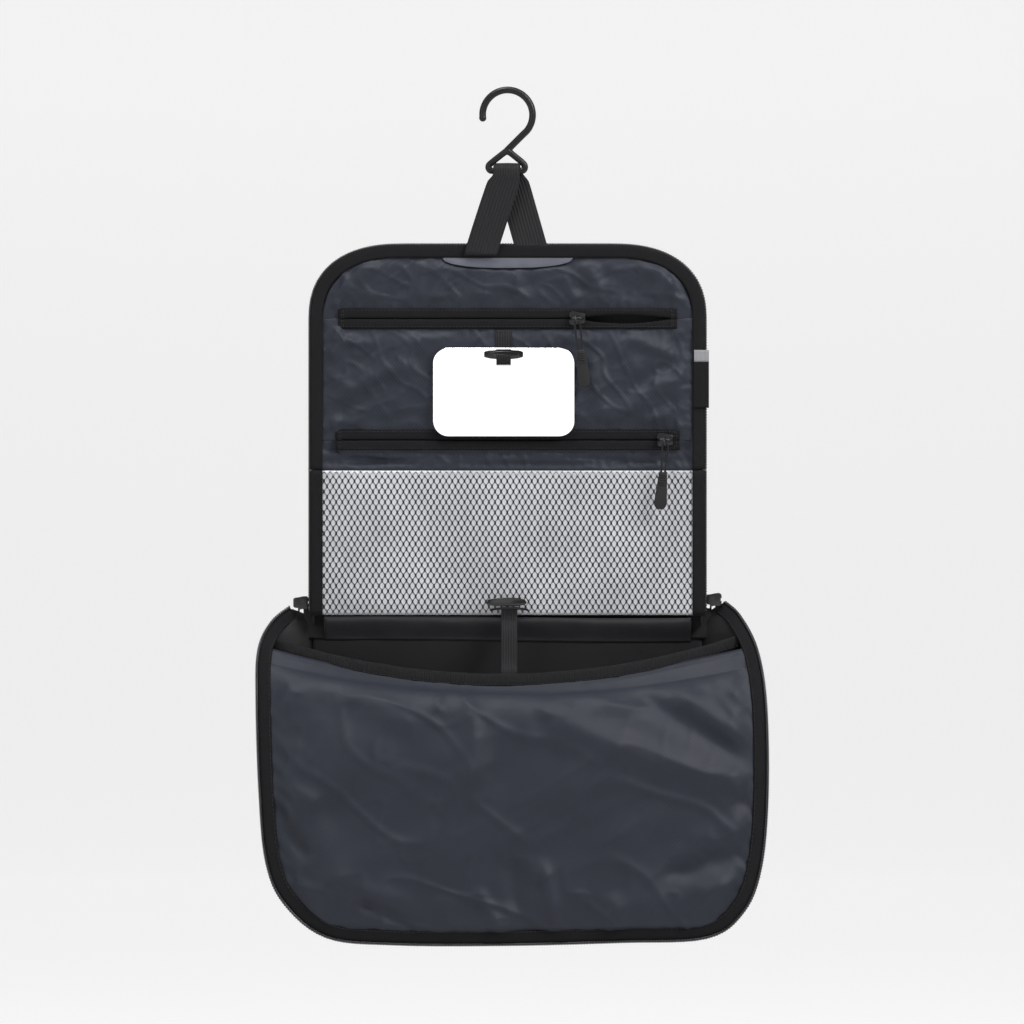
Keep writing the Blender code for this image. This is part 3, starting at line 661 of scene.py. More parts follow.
def flap_back():
    """The outer cloth on the flap's back, in two parts: each spans one fold."""
    def soft(x, z):
        edge = min(1.0, (flap_half(z, 1.5) - abs(x)) / 12.0, (FLAP_TOP - 1.5 - z) / 12.0)
        return -0.9 * ease(edge) * (0.8 + 0.5 * crumple(x, z, 22.0, 0.6, 2.0, 4.0))
    upper = flap_cloth("back_cloth_upper", 1.5, BACK_Y - 0.8, 0.8, BACK_SPLIT_Z, OUTER, 4.0, soft)
    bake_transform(upper)
    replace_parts(upper, "back_fabric_upper")
    rows = []
    for z in spaced(BACK_SPLIT_Z, -341.0, 3.0):
        half = 124.2 + 1.5 * ease((-329.0 - z) / 10.0)
        share = 1 if z > -325 else 0.6
        rows.append([(x, BACK_Y - 0.8 - soft(x, z) * share, z) for x in (half * (k / 32 - 1) for k in range(65))])
    lower = sheet("back_cloth_lower", rows, 0.8, OUTER, None, planar=True)
    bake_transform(lower)
    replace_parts(lower, "back_fabric_lower")


def flap_padding():
    """Foam and pocket backing between the back cloth and the lining."""
    for word, low, top in (("upper", BEND_Z + 0.3, FLAP_TOP), ("lower", HINGE_Z + 0.3, BEND_Z - 0.3)):
        body = f"flap_{word}"
        foam = flap_cloth(f"foam_{word}", 3.9, 10.1, 2.1, low, FOAM, 10.0,
                          lambda x, z: 0.25 * crumple(x, z, 12.0, 0, 1, 2.0) * 0.5, top)
        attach(foam, body)
        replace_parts(foam, f"foam_pad_{word}")
        backing = flap_cloth(f"backing_{word}", 3.9, 9.0, 0.7, low, INNER, 7.0,
                             lambda x, z: 0.15 * crumple(x, z, 14.0, 0.5, 2, 3.0), top)
        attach(backing, body)
        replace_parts(backing, f"pocket_backing_{word}")


def wall(name, line, front, back, bulge=0.6):
    """A gusset: a strip of cloth from front to back along the line, slightly bulged."""
    rows = []
    for n in range(7):
        t = n / 6
        out = bulge * math.sin(math.pi * t)
        rows.append([(p.x + math.copysign(out, p.x) * (abs(p.x) > 60), front + (back - front) * t,
                      p.z + out * (abs(p.x) <= 60)) for p in evenly(line, 4.0)])
    return sheet(name, rows, 0.7, OUTER)


def flap_gussets():
    """The flap's edge walls: one over the top and down to the fold, and one on each side below it."""
    back = BACK_Y - 1.1
    upper = wall("gusset_top", flap_edge(GUSSET_INSET, 0), 2.4, back)
    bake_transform(upper)
    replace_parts(upper, "gusset_upper")
    for side, word in ((-1, "left"), (1, "right")):
        line = [(side * (FLAP_HALF - GUSSET_INSET), 0, z) for z in (BEND_Z, HINGE_Z - 6.0)]
        if side > 0:
            line = line[::-1]
        piece = wall(f"gusset_side_{word}", line, 2.4, back)
        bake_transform(piece)
        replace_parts(piece, f"gusset_lower_{word}")


def flap_zip():
    """The perimeter zip's flap side: tape along the front edge, coil on the outer edge."""
    def tape(name, outer, inner, body):
        shares = (0.0, 0.12, 0.3, 0.5, 0.72, 0.86, 1.0)
        lift = (0.35, 0.0, -0.12, -0.1, 0.05, 0.0, 0.3)
        outer, inner = [[Vector(p) for p in line] for line in (outer, inner)]
        rows = [[tuple(a.lerp(b, t) + Vector((0, h + 0.06 * noise.noise(a * 0.12), 0))) for a, b in zip(outer, inner)]
                for t, h in zip(shares, lift)]
        return sheet(name, rows[::-1], 0.55, TAPE, body)
    outer, inner = (evenly(flap_edge(inset, TAPE_Y + 0.1, BEND_Z + 0.3), 0, 220) for inset in EDGE_TAPE)
    upper = tape("edge_tape_top", outer, inner, "flap_upper")
    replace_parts(upper, "flap_zip_tape_upper")
    line = evenly(flap_edge(EDGE_COIL, COIL_Y), 3.0)
    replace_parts(coil("edge_coil_top", line, "flap_upper"), "flap_zip_coil_upper")
    stitches("edge_seam_top", evenly(flap_edge(EDGE_SEAM, TAPE_Y - 0.02, BEND_Z + 1.0), 3.0), "flap_upper")
    for side, word in ((-1, "left"), (1, "right")):
        outer, inner = ([(side * (FLAP_HALF - inset), TAPE_Y + 0.1, z)
                         for z in spaced(HINGE_Z, BEND_Z - 0.3, 4.0)] for inset in EDGE_TAPE)
        if side > 0:
            outer, inner = outer[::-1], inner[::-1]
        piece = tape(f"edge_tape_{word}", outer, inner, "flap_lower")
        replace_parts(piece, f"flap_zip_tape_lower_{word}")
        x = side * (FLAP_HALF - EDGE_COIL)
        piece = coil(f"edge_coil_{word}", [(x, COIL_Y, HINGE_Z + 3.0), (x, COIL_Y, BEND_Z)], "flap_lower")
        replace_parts(piece, f"flap_zip_coil_lower_{word}")
        x = side * (FLAP_HALF - EDGE_SEAM)
        stitches(f"edge_seam_{word}", [(x, TAPE_Y - 0.02, HINGE_Z + 1.0), (x, TAPE_Y - 0.02, BEND_Z)], "flap_lower")


# Folds: (x0, z0, x1, z1, width, height) of each soft ridge; a negative height is a hollow.
TOP_FOLDS = [
    (-36, -112, -47, -133, 3.5, 1.6), (-52, -104, -58, -130, 4, 1.3), (-24, -112, -30, -132, 3, -1.1),
    (19, -118, -4, -132, 4, -1.7), (34, -112, 44, -132, 4, 1.6), (46, -104, 62, -130, 4.5, 1.5),
    (-70, -101, -112, -126, 6, 2.0), (-84, -100, -96, -133, 5, 1.2), (-108, -112, -113, -131, 4, 1.4),
    (76, -101, 106, -122, 6, 1.8), (90, -108, 96, -133, 4.5, 1.2), (40, -122, 100, -131, 4, -1.4),
    (4, -112, 10, -131, 4, 1.2), (-12, -112, -16, -131, 3.5, 0.9), (58, -112, 84, -126, 5, -1.2),
    (-60, -118, -76, -132, 5, -1.2), (108, -108, 113, -132, 4, 1.2),
]
MIDDLE_FOLDS = [
    (-112, -152, -84, -158, 3.5, 1.8), (-73, -179, -108, -201, 5, -2.4), (-60, -170, -104, -190, 6, 2.4),
    (-95, -155, -113, -166, 4, 1.8), (-62, -152, -72, -200, 6, 1.6), (-88, -152, -92, -176, 6, -1.2),
    (-112, -206, -84, -210, 3.5, 1.8), (-50, -202, -92, -209, 4, -1.4), (-114, -176, -98, -186, 4, 1.4),
    (76, -152, 108, -166, 4.5, 1.9), (56, -204, 108, -180, 7, 2.4), (64, -196, 104, -172, 5, -1.8),
    (112, -196, 84, -209, 4, 1.8), (52, -164, 60, -205, 5, 1.4), (108, -152, 100, -172, 4, -1.4),
    (114, -176, 90, -184, 5, 1.4), (98, -190, 112, -206, 4, -1.3), (20, -150, 56, -156, 3, 1.0),
    (-30, -150, -60, -156, 3, 0.9), (70, -160, 84, -176, 7, 1.2),
]
LOWER_FOLDS = [
    (-112, -227.5, 30, -229.5, 1.9, 2.0), (-70, -232.0, 96, -231.0, 1.7, 1.9), (-104, -234.5, -10, -235.2, 1.5, 1.2),
    (10, -227.6, 110, -228.4, 1.6, 1.8), (-100, -229.8, -60, -233.5, 1.6, -1.4), (60, -233.8, 112, -234.8, 1.5, 1.3),
    (40, -229.5, 90, -232.5, 1.4, -1.2),
]


def puffed(x, z, top, low, folds, rise, reach, side, seed):
    """Relief of a lining panel: held flat at its seams, puckered beside them, puffed and creased between."""
    down, up, across = z - low, top - z, side - abs(x)
    held = ease(down / reach) * ease(up / reach) * ease(across / reach)
    near = min(down, up)
    pucker = math.exp(-max(0.0, near) / 7.0) * ease(near / 1.5) * crumple(x, z, 3.2, math.pi / 2, 2.6, seed + 9)
    pucker += math.exp(-max(0.0, across) / 8.0) * ease(across / 1.5) * 1.3 * crumple(x, z, 4.0, 0.0, 2.8, seed + 5)
    broad = 1.3 * crumple(x, z, 17.0, -0.5, 2.2, seed) + 0.8 * crumple(x, z, 8.0, 0.8, 2.5, seed + 3)
    broad += sharp(x, z, 13.0, -0.7, seed + 6) + 0.7 * sharp(x, z, 9.0, 0.6, seed + 7)
    return rise * held + (broad + crease(x, z, folds)) * (0.25 + 0.75 * held) * ease(near / 2) + pucker


def zip_lap(x, zip_name, edge):
    """The lining's edge beside a pocket zip: behind the tape along the zip, at the zip's middle past its ends."""
    centre, half, _ = ZIPS[zip_name]
    return edge + (centre - edge) * ease((abs(x) - half + 3.6) / 2.4)


def linings():
    """Three lining panels, each a little larger than its place, so it puffs between its seams."""
    z1, z2 = ZIPS["zip_1"][0], ZIPS["zip_2"][0]
    spans = (
        ("lining_cloth_top", "lining_top", None, "zip_1", TOP_FOLDS, 1.7, 1.0, 0.0372),
        ("lining_cloth_middle", "lining_middle", "zip_1", "zip_2", MIDDLE_FOLDS, 1.9, 2.0, 0.0700),
        ("lining_cloth_lower", "lining_lower", "zip_2", None, LOWER_FOLDS, -2.6, 3.0, 0.0175),
    )
    for name, node, above, below, folds, rise, seed, long in spans:
        top = {None: FLAP_TOP - 7.6, "zip_1": z1 - ZIP_HALF + 1.0, "zip_2": z2 - ZIP_HALF + 1.0}[above]
        low = {None: BEND_Z + 0.2, "zip_1": z1 + ZIP_HALF - 1.0, "zip_2": z2 + ZIP_HALF - 1.0}[below]
        count = round((top - low) / 1.25)
        rows = []
        for n in range(count + 1):
            t = n / count
            half = flap_half(min(top + (low - top) * t, FLAP_TOP - 8.05), 8.0)
            row = []
            for k in range(181):
                x = half * (k / 90 - 1)
                high = zip_lap(x, above, top) if above else top
                deep = zip_lap(x, below, low) if below else low
                z = high + (deep - high) * t
                lift = puffed(x, z, high, deep, folds, rise, 5.0 if rise < 0 else 10.0, half, seed)
                if name == "lining_cloth_top" and abs(x) < FACING_HALF:
                    edge = FACING_TOP - FACING_DROP * math.sqrt(1 - (abs(x) / FACING_HALF) ** FACING_POWER)
                    lift = -0.35 + (lift + 0.35) * ease((edge - z + 0.6) / 3.5)
                least = -3.4 if rise < 0 else -0.35
                most = 3.0 if -56 < x < 50 and z < -146 else 6.0
                lift = min(max(least, lift), most + 0.25 * math.tanh(lift - most))
                row.append((x, LINING_Y - lift, z))
            rows.append(row)
        rows.append([(x, y + 0.4, z - 0.5) for x, y, z in rows[-1]])
        rows.insert(0, [(x, y + 0.4, z + 0.4) for x, y, z in rows[0]])
        piece = sheet(name, rows, 0.3, LINING, "flap_upper", planar=True)
        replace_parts(piece, node)


def facing():
    """Grey cloth at the top of the lining, gathered on its curved lower edge."""
    rows = []
    for n in range(13):
        t = n / 12
        row = []
        for k in range(61):
            u = k / 30 - 1
            bow = math.sqrt(max(0.0, 1 - abs(u) ** FACING_POWER))
            z = FACING_TOP - (FACING_DROP * bow + 0.15) * t
            ripple = 0.4 * math.sin(u * 17 + 2.2 * math.sin(u * 5)) * t
            y = 0.95 - 0.5 * ease(t * 1.4) * bow - ripple * 0.8 * bow
            row.append((FACING_HALF * u, y, z))
        rows.append(row)
    piece = sheet("facing_grey", rows, 0.6, GREY, "flap_upper", planar=True)
    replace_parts(piece, "hook_pocket_facing")


def label():
    """The folded side label, left plain: a grey band over black."""
    pieces = []
    for name, top, low, look in (("label_band", -161.6, -169.0, PALE_TAPE), ("label_black", -169.0, -198.1, TAPE)):
        rows = [[(x, -0.15 + (0.5 if x > 126.6 else 0.0) - 0.12 * math.sin((x - 117.5) * 0.33), z)
                 for x in (117.5, 118.0, 119.5, 121.5, 123.5, 125.5, 126.4, 126.9)] for z in spaced(top, low, 1.2)]
        pieces.append(sheet(name, rows, 0.7, look, "flap_upper", planar=True))
    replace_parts(pieces[1], "side_label")


flap_back()
flap_padding()
flap_gussets()
flap_zip()
linings()
facing()
label()


# --- pocket zips ---
def parting(x, start, end, amount):
    """How far one side of an open zip stands back from its middle at x."""
    if x <= start or x >= end:
        return 0.0
    return amount * math.sin(math.pi * (x - start) / (end - start)) ** 0.8


# A zip tape's section: (share of the way across, how far back).
TAPE_SECTION = ((0.0, 0.35), (0.12, 0.0), (0.3, -0.1), (0.5, -0.12), (0.7, -0.1), (0.9, 0.05), (1.0, 0.4))


def pocket_zips():
    """Reverse-coil zips: two smooth tapes in front, the coils behind; the upper one stands part open."""
    for name, (zc, half, slider) in ZIPS.items():
        is_open = name == "zip_1"
        stop = half - 4.0
        for word, sign, apart in (("upper", 1, 2.2), ("lower", -1, 3.0)):
            amount = apart if is_open else 0.0
            rows = []
            for t, lift in TAPE_SECTION:
                row = []
                for x in spaced(-half, half, 1.6):
                    inner = zc + sign * (0.3 + parting(x, slider, stop, amount))
                    outer = zc + sign * (ZIP_HALF + 0.15 * crumple(x, 0, 6.0, 0, 1, zc))
                    row.append((x, TAPE_Y + lift - 0.2, outer + (inner - outer) * t))
                rows.append(row)
            if sign < 0:
                rows.reverse()
            piece = sheet(f"{name}_cloth_{word}", rows, 0.5, TAPE, "flap_upper", planar=True)
            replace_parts(piece, f"{name}_tape_{word}")
            seam = [(x, TAPE_Y - 0.22, zc + sign * 5.2) for x in (-half + 2.2, half - 2.2)]
            stitches(f"{name}_seam_{word}", seam, "flap_upper", stitch=1.7, gap=0.7, width=0.36)
            closed = slider if is_open else stop
            place = [(x, 2.9, zc + sign * 0.62) for x in spaced(-stop, closed, 4.0)]
            if is_open:
                place += [(x, 2.75, zc + sign * (0.75 + parting(x, slider, stop, amount)))
                          for x in spaced(slider + 2, stop, 2.0)]
            turn = coil(f"{name}_wire_{word}", place, "flap_upper", radius=0.62, wire=0.3,
                        phase=0 if sign > 0 else math.pi)
            if sign > 0:
                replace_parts(turn, f"{name}_coil_closed")
            if is_open:
                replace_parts(turn, f"{name}_coil_{word}")
        for side, word in ((-1, "left"), (1, "right")):
            for n in (0, 1):
                x = side * (half - 2.2 - 1.1 * n)
                line = [(x, TAPE_Y - 0.25, zc + 5.2), (x, TAPE_Y - 0.25, zc - 5.2)]
                stitches(f"{name}_end_{word}_{n}", line, "flap_upper", stitch=1.5, gap=0.6)


# --- sliders and pulls ---
def seat(piece, place, body, node):
    """Moves the piece to its place in its mesh, as the CAD pieces are, on its body and for its node."""
    piece.matrix_world = place
    bpy.context.view_layer.update()
    piece.data.transform(piece.matrix_world)
    piece.matrix_world = Matrix.Identity(4)
    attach(piece, body)
    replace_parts(piece, node)


def slider_set(name, place, tilt, flip, bodies):
    """A crown slider with its ring, a two-strand cord loop and a moulded rubber grip."""
    tag = f"{name}_pull_set"
    base = Matrix.Translation(Vector(place) * MM)
    if flip:
        base = base @ Matrix.Rotation(math.pi, 4, "Z")
    outline = [(-5.0, 1.2), (-4.6, 3.4), (-3.4, 4.2), (-1.2, 4.1), (1.6, 3.5), (4.2, 3.1), (5.0, 2.4),
               (5.0, -2.4), (4.2, -3.1), (1.6, -3.5), (-1.2, -4.1), (-3.4, -4.2), (-4.6, -3.4), (-5.0, -1.2),
               (-3.2, 0.0)]
    smaller = [(x * 0.98, z * 0.97) for x, z in outline]
    post = [(-3.6, 0.9), (-1.2, 1.6), (-1.2, -1.6), (-3.6, -0.9)]
    front, back, neck = (
        plate(f"{tag}_{word}", shape, y, thick, METAL, bevel=bevel)
        for word, shape, y, thick, bevel in (("front", outline, -1.7, 0.9, 0.28), ("back", smaller, -0.25, 0.8, 0.2),
                                             ("neck", post, -0.9, 0.8, 0.15)))
    arch = [(-3.6, -1.3, 0), (-3.7, -3.2, 0), (-3.1, -5.1, 0), (-1.6, -5.75, 0), (0.3, -5.85, 0),
            (2.2, -5.5, 0), (3.4, -4.0, 0), (3.7, -2.2, 0), (3.6, -1.3, 0)]
    bridge = tube(f"{tag}_bridge", arch, 0.78, METAL, sides=10)
    seat(merge(f"{tag}_metal", front, back, neck, bridge), base, bodies[0], f"{name}_slider")
    hang = base @ Matrix.Translation((0, -5.8 * MM, 0)) @ Matrix.Rotation(math.radians(-35.0), 4, "X")
    circle = [(2.9 * math.cos(a), 2.9 * math.sin(a), 0) for a in (2 * math.pi * n / 12 for n in range(12))]
    ring = tube(f"{tag}_link", circle, 0.52, METAL, cyclic=True, sides=10)
    turned = Euler((0, math.pi / 2, math.radians(-22.0))).to_matrix().to_4x4()
    seat(ring, hang @ Matrix.Translation((0, 0, -1.4 * MM)) @ turned, bodies[1], f"{name}_ring")
    low = hang @ Vector((0, 0, -4.3 * MM))
    swung = Matrix.Translation(low) @ base.to_3x3().to_4x4() @ Matrix.Rotation(math.radians(tilt), 4, "Y")
    strand = [(-1.15, 0, -17.4), (-1.3, 0, -12), (-1.75, 0, -5)]
    bow = [(-1.7 * math.cos(math.pi * n / 6), 0, 1.7 * math.sin(math.pi * n / 6)) for n in range(7)]
    loop = strand + bow + [(-x, y, z) for x, y, z in strand[::-1]]
    seat(tube(f"{tag}_cord", loop, 0.62, CORD_LOOK, sides=10), swung, bodies[2], f"{name}_pull_cord")
    top, end = -16.8, -40.5
    side = [(2.0, top), (2.5, top - 0.9), (2.75, top - 3.0), (3.1, top - 8), (3.6, top - 14), (4.0, end + 4.2)]
    tip = [(4.0 * math.cos(a), end + 4.0 - 4.0 * math.sin(a)) for a in (math.pi * n / 10 for n in range(1, 10))]
    outline = side + tip + [(-x, z) for x, z in side[::-1]]
    grip = plate(f"{tag}_grip", outline, -1.3, 2.6, RUBBER, bevel=0.75, segments=4)
    ribs = []
    for n in range(5):
        z = top - 1.9 - 1.5 * n
        half = 1.9 + 0.16 * n
        line = [(-half, -1.28, z), (0, -1.46, z), (half, -1.28, z)]
        ribs.append(tube(f"{tag}_rib_{n}", line, 0.3, RUBBER, sides=6))
    seat(merge(f"{tag}_grip", grip, *ribs), swung, bodies[2], f"{name}_pull_grip")


def sliders():
    """The two pocket zips' sliders in front, and the perimeter zip's two behind the hinge's ends, turned round."""
    for name, tilt in (("zip_1", -7.0), ("zip_2", 5.0)):
        zc, _, x = ZIPS[name]
        slider_set(name, (x, 0, zc), tilt, False, (f"{name}_slider", f"{name}_ring", f"{name}_pull"))
    for name, place in (("rim_left", (-130.4, 7, -321)), ("rim_right", (130.4, 7, -319))):
        slider_set(name, place, 0.0, True, ("pouch", f"{name}_ring", f"{name}_pull"))


# --- mirror ---
def rounded(x0, x1, z0, z1, r, steps):
    """A rectangle's outline with its corners rounded by r."""
    outline = []
    for cx, cz, start in ((x1 - r, z1 - r, 0), (x0 + r, z1 - r, 90), (x0 + r, z0 + r, 180), (x1 - r, z0 + r, 270)):
        for n in range(steps + 1):
            a = math.radians(start + 90 * n / steps)
            outline.append((cx + r * math.cos(a), cz + r * math.sin(a)))
    return outline


def mirror():
    """Card-sized mirror on a webbing tab that comes through its slot and is held by a toggle."""
    glass = plate("mirror_card", rounded(*MIRROR, 9.8, 14), MIRROR_Y, 1.6, MIRROR_LOOK, bevel=0.25)
    slot = rounded(SLOT_X - 6.6, SLOT_X + 6.6, SLOT_Z - 2.2, SLOT_Z + 2.2, 1.6, 4)
    cutter = plate("slot_cutter", slot, -8, 12, MIRROR_LOOK, bevel=0.01)
    hole = glass.modifiers.new("slot", "BOOLEAN")
    hole.operation = "DIFFERENCE"
    hole.object = cutter
    hole.solver = "EXACT"
    apply_modifiers(glass)
    bpy.data.objects.remove(cutter)
    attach(glass, "mirror")
    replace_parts(glass, "mirror")
    for face in glass.data.polygons:
        face.use_smooth = abs(face.normal.y) < 0.999
    line = catmull([(0, 1.3, -148.6), (0, -0.4, -151.5), (0, -0.95, -155.0), (0, -0.95, -160.0),
                    (0, -1.0, SLOT_Z + 1.6), (0, -2.4, SLOT_Z + 0.5), (0, -3.9, SLOT_Z - 0.1)], 4)
    rows = [[(SLOT_X + 5.3 * (k / 8 - 1), spot.y - 0.12 * math.cos(math.pi * (k / 16 - 0.5)), spot.z)
             for k in range(17)] for spot in line]
    tab = sheet("mirror_webbing", rows, 0.8, WEBBING, "mirror_tab")
    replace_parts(tab, "mirror_tab")
    outline = [(-12.3, 1.7), (-9.5, 2.5), (-5.2, 2.7), (-4.4, 3.3), (4.4, 3.3), (5.2, 2.7), (9.5, 2.5), (12.3, 1.7),
               (12.3, -1.6), (9.0, -2.5), (5.2, -2.9), (-5.2, -2.9), (-9.0, -2.5), (-12.3, -1.6)]
    bar = plate("toggle_bar", [(SLOT_X + x, SLOT_Z + 0.4 + z) for x, z in outline], -6.1, 2.1,
                GLOSS, bevel=0.7, segments=4)
    lens = [(-9.6, 0.5), (-7.4, 1.5), (-4, 2.1), (4, 2.1), (7.4, 1.5), (9.6, 0.5),
            (9.6, -0.3), (7.4, -1.3), (4, -1.9), (-4, -1.9), (-7.4, -1.3), (-9.6, -0.3)]
    crown = plate("toggle_crown", [(SLOT_X + x, SLOT_Z + 0.3 + z) for x, z in lens], -6.6, 1.2,
                  GLOSS, bevel=0.45, segments=4)
    bar = merge("toggle_lens", bar, crown)
    bends = ((-6.0, 1.2), (-6.55, 0.6), (-6.7, -0.8), (-6.5, -2.6), (-5.6, -4.2), (-5.0, -6.0))
    tail_rows = [[(SLOT_X + 4.6 * (k / 6 - 1), y, SLOT_Z + z) for k in range(13)] for y, z in bends]
    tail = sheet("toggle_tail", tail_rows, 0.8, WEBBING, "mirror_tab")
    # A thin pale grey strip across the black tail's lower end: a painted highlight where light catches the tail's
    # bottom edge.
    end = plate("toggle_tail_painted_highlight", rounded(SLOT_X - 4.6, SLOT_X + 4.6, SLOT_Z - 6.5, SLOT_Z - 5.95, 0.2, 2),
                -5.0, 0.8, PALE_TAPE, "mirror_tab", bevel=0.05)
    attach(bar, "mirror_tab")
    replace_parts(bar, "mirror_toggle")
    stitches("tab_seam", [(SLOT_X - 4.6, -0.3, -150.2), (SLOT_X + 4.6, -0.3, -150.2)], "mirror_tab", stitch=1.4)


# --- mesh pocket ---
def net_cells(name, y, x_half, top, low, pitch=3.85, drop=6.6, strand=0.40):
    """A net of oval cells in diamond lattice, each row offset by half a cell."""
    bm = bmesh.new()
    rows_count = int((top - low) / (drop / 2)) + 1
    columns = int(2 * x_half / pitch)
    half_w, half_h = pitch / 2, drop / 2
    for j in range(1, rows_count):
        for i in range(columns + 1):
            cx = -x_half + i * pitch + (half_w if j % 2 else 0.0)
            cz = top - j * half_h
            if abs(cx) > x_half or cz < low - half_h * 0.4:
                continue
            outer = [(half_w, 0), (half_w / 2, half_h / 2), (0, half_h), (-half_w / 2, half_h / 2),
                     (-half_w, 0), (-half_w / 2, -half_h / 2), (0, -half_h), (half_w / 2, -half_h / 2)]
            ring = ((half_w - strand - 0.06, 0), (half_w * 0.60, half_h * 0.37), (0, half_h * 0.72),
                    (-half_w * 0.60, half_h * 0.37))
            hole = [*ring, *((-x, -z) for x, z in ring)]
            spots = [(cx + x, min(top, max(low, cz + z)), 0.0) for x, z in outer]
            spots += [(cx + x, min(top, max(low, cz + z)), 0.03) for x, z in hole]
            verts = [bm.verts.new((x, y + film_wave(x, z) + back, z)) for x, z, back in spots]
            a, b = verts[:8], verts[8:]
            for k in range(8):
                bm.faces.new((a[k], b[k], b[(k + 1) % 8], a[(k + 1) % 8]))
    bmesh.ops.remove_doubles(bm, verts=bm.verts, dist=0.05)
    bmesh.ops.dissolve_degenerate(bm, edges=bm.edges, dist=0.01)
    bmesh.ops.recalc_face_normals(bm, faces=bm.faces)
    if sum(face.normal.y for face in bm.faces) > 0:
        bmesh.ops.reverse_faces(bm, faces=bm.faces)
    piece = new_piece(name, finished(bm, name), NET, "flap_lower")
    wall = piece.modifiers.new("thickness", "SOLIDIFY")
    wall.thickness = 0.32 * MM
    wall.offset = -1.0
    apply_modifiers(piece)
    return piece


def film_wave(x, z):
    """How far the pocket's film moves back (+) or forward (-) from flat."""
    down = (BEND_Z - z) / (BEND_Z - HINGE_Z)
    side = ease((118.0 - abs(x)) / 14.0)
    return side * ease(down / 0.15) * ease((1.02 - down) / 0.12) * (
        -0.9 + 0.55 * crumple(x, z, 26.0, -0.4, 1.8, 6.0) + 0.3 * crumple(x, z, 11.0, 1.2, 2.0, 7.0))


def mesh_pocket():
    """The film with its net, the seam above them, and the elastic loop with the mouth strap's toggle."""
    rows = [[(x, LINING_Y - 0.15 + film_wave(x, z), z) for x in spaced(-119.6, 119.6, 3.0)]
            for z in spaced(BEND_Z - 0.4, HINGE_Z + 0.4, 2.5)]
    film = sheet("pocket_film", rows, 0.25, FILM, "flap_lower", planar=True)
    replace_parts(film, "mesh_pocket_film")
    net = net_cells("pocket_net", TAPE_Y + 0.62, 117.6, BEND_Z - 0.4, HINGE_Z + 0.3)
    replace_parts(net, "mesh_pocket_net")
    stitches("pocket_top_seam", [(-116.0, 0.5, BEND_Z - 0.9), (116.0, 0.5, BEND_Z - 0.9)], "flap_lower",
             look=PALE_THREAD, stitch=1.5, gap=0.9, width=0.4)
    arch = [(-10.5, 0.4, -325.5), (-9.5, -4.4, -325.0), (-5.5, -6.6, -324.4), (1.0, -7.2, -324.2),
            (7.5, -6.6, -324.4), (11.5, -4.4, -325.0), (12.5, 0.4, -325.5)]
    loop = tube("elastic_cord", arch, 0.75, CORD_LOOK, "flap_lower", sides=10)
    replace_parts(loop, "elastic_loop")
    outline = [(-12.6, 0.3), (-11.6, 1.7), (-8.0, 2.5), (-3, 2.9), (3, 2.9), (8.0, 2.5), (11.6, 1.7), (12.6, 0.3),
               (12.6, -0.7), (11.4, -1.8), (7.0, -2.5), (-7.0, -2.5), (-11.4, -1.8), (-12.6, -0.7)]
    bar = plate("strap_toggle_bar", [(x - 0.6, z - 320.4) for x, z in outline], -5.6, 3.3,
                GLOSS, bevel=1.1, segments=5)
    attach(bar, "toggle")
    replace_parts(bar, "strap_toggle")


pocket_zips()
sliders()
mirror()
mesh_pocket()


# --- pouch ---
def stations():
    """The rim's stations, smoothed."""
    first = catmull([s[:3] for s in STATIONS], RIM_STEPS)
    second = catmull([(s[3], s[4], 0) for s in STATIONS], RIM_STEPS)
    return [(a.x, a.y, a.z, b.x, b.y) for a, b in zip(first, second)]


def inset_line(line, amount):
    """A line of (x, z) moved towards the pouch's middle by amount."""
    result = []
    for n, (x, z) in enumerate(line):
        before, after = line[max(n - 1, 0)], line[min(n + 1, len(line) - 1)]
        way = Vector((after[0] - before[0], after[1] - before[1])).normalized()
        result.append((x - way.y * amount, z + way.x * amount))
    return result


def rim_points(inset, back):
    """The rim's line, drawn in by inset and moved back."""
    rim = inset_line([(s[0], s[1]) for s in stations()], inset)
    return [Vector((x, BACK_Y - s[2] + back, z)) for (x, z), s in zip(rim, stations())]


def at_share(line, t):
    """The point a share t of the way through the line's own points."""
    place = t * (len(line) - 1)
    n = min(int(place), len(line) - 2)
    return Vector(line[n]).lerp(Vector(line[n + 1]), place - n)


def span_rows(line, first, columns, sag_z=0.0, sag_y=0.0, rows_per_step=1):
    """Rows across the pouch between the two sides of its outline, the last one along the outline's bottom."""
    last, bottom = len(line) - 1, FLOOR_STEP
    ground = line[bottom:last - bottom + 1]
    rows = []
    count = (bottom - first) * rows_per_step
    for n in range(count + 1):
        f = n / count
        place = (first + (bottom - first) * f) / last
        left, right = at_share(line, place), at_share(line, 1 - place)
        floor_left, floor_right = Vector(line[bottom]), Vector(line[last - bottom])
        row = []
        for k in range(columns + 1):
            t = k / columns
            sag = 4 * t * (1 - t)
            point = left.lerp(right, t)
            point += (at_share(ground, t) - floor_left.lerp(floor_right, t)) * f ** 5
            point.z -= sag_z * sag * (1 - f) ** 1.5
            point.y -= sag_y * sag * (1 - f) ** 2
            row.append(point)
        rows.append(row)
    return rows


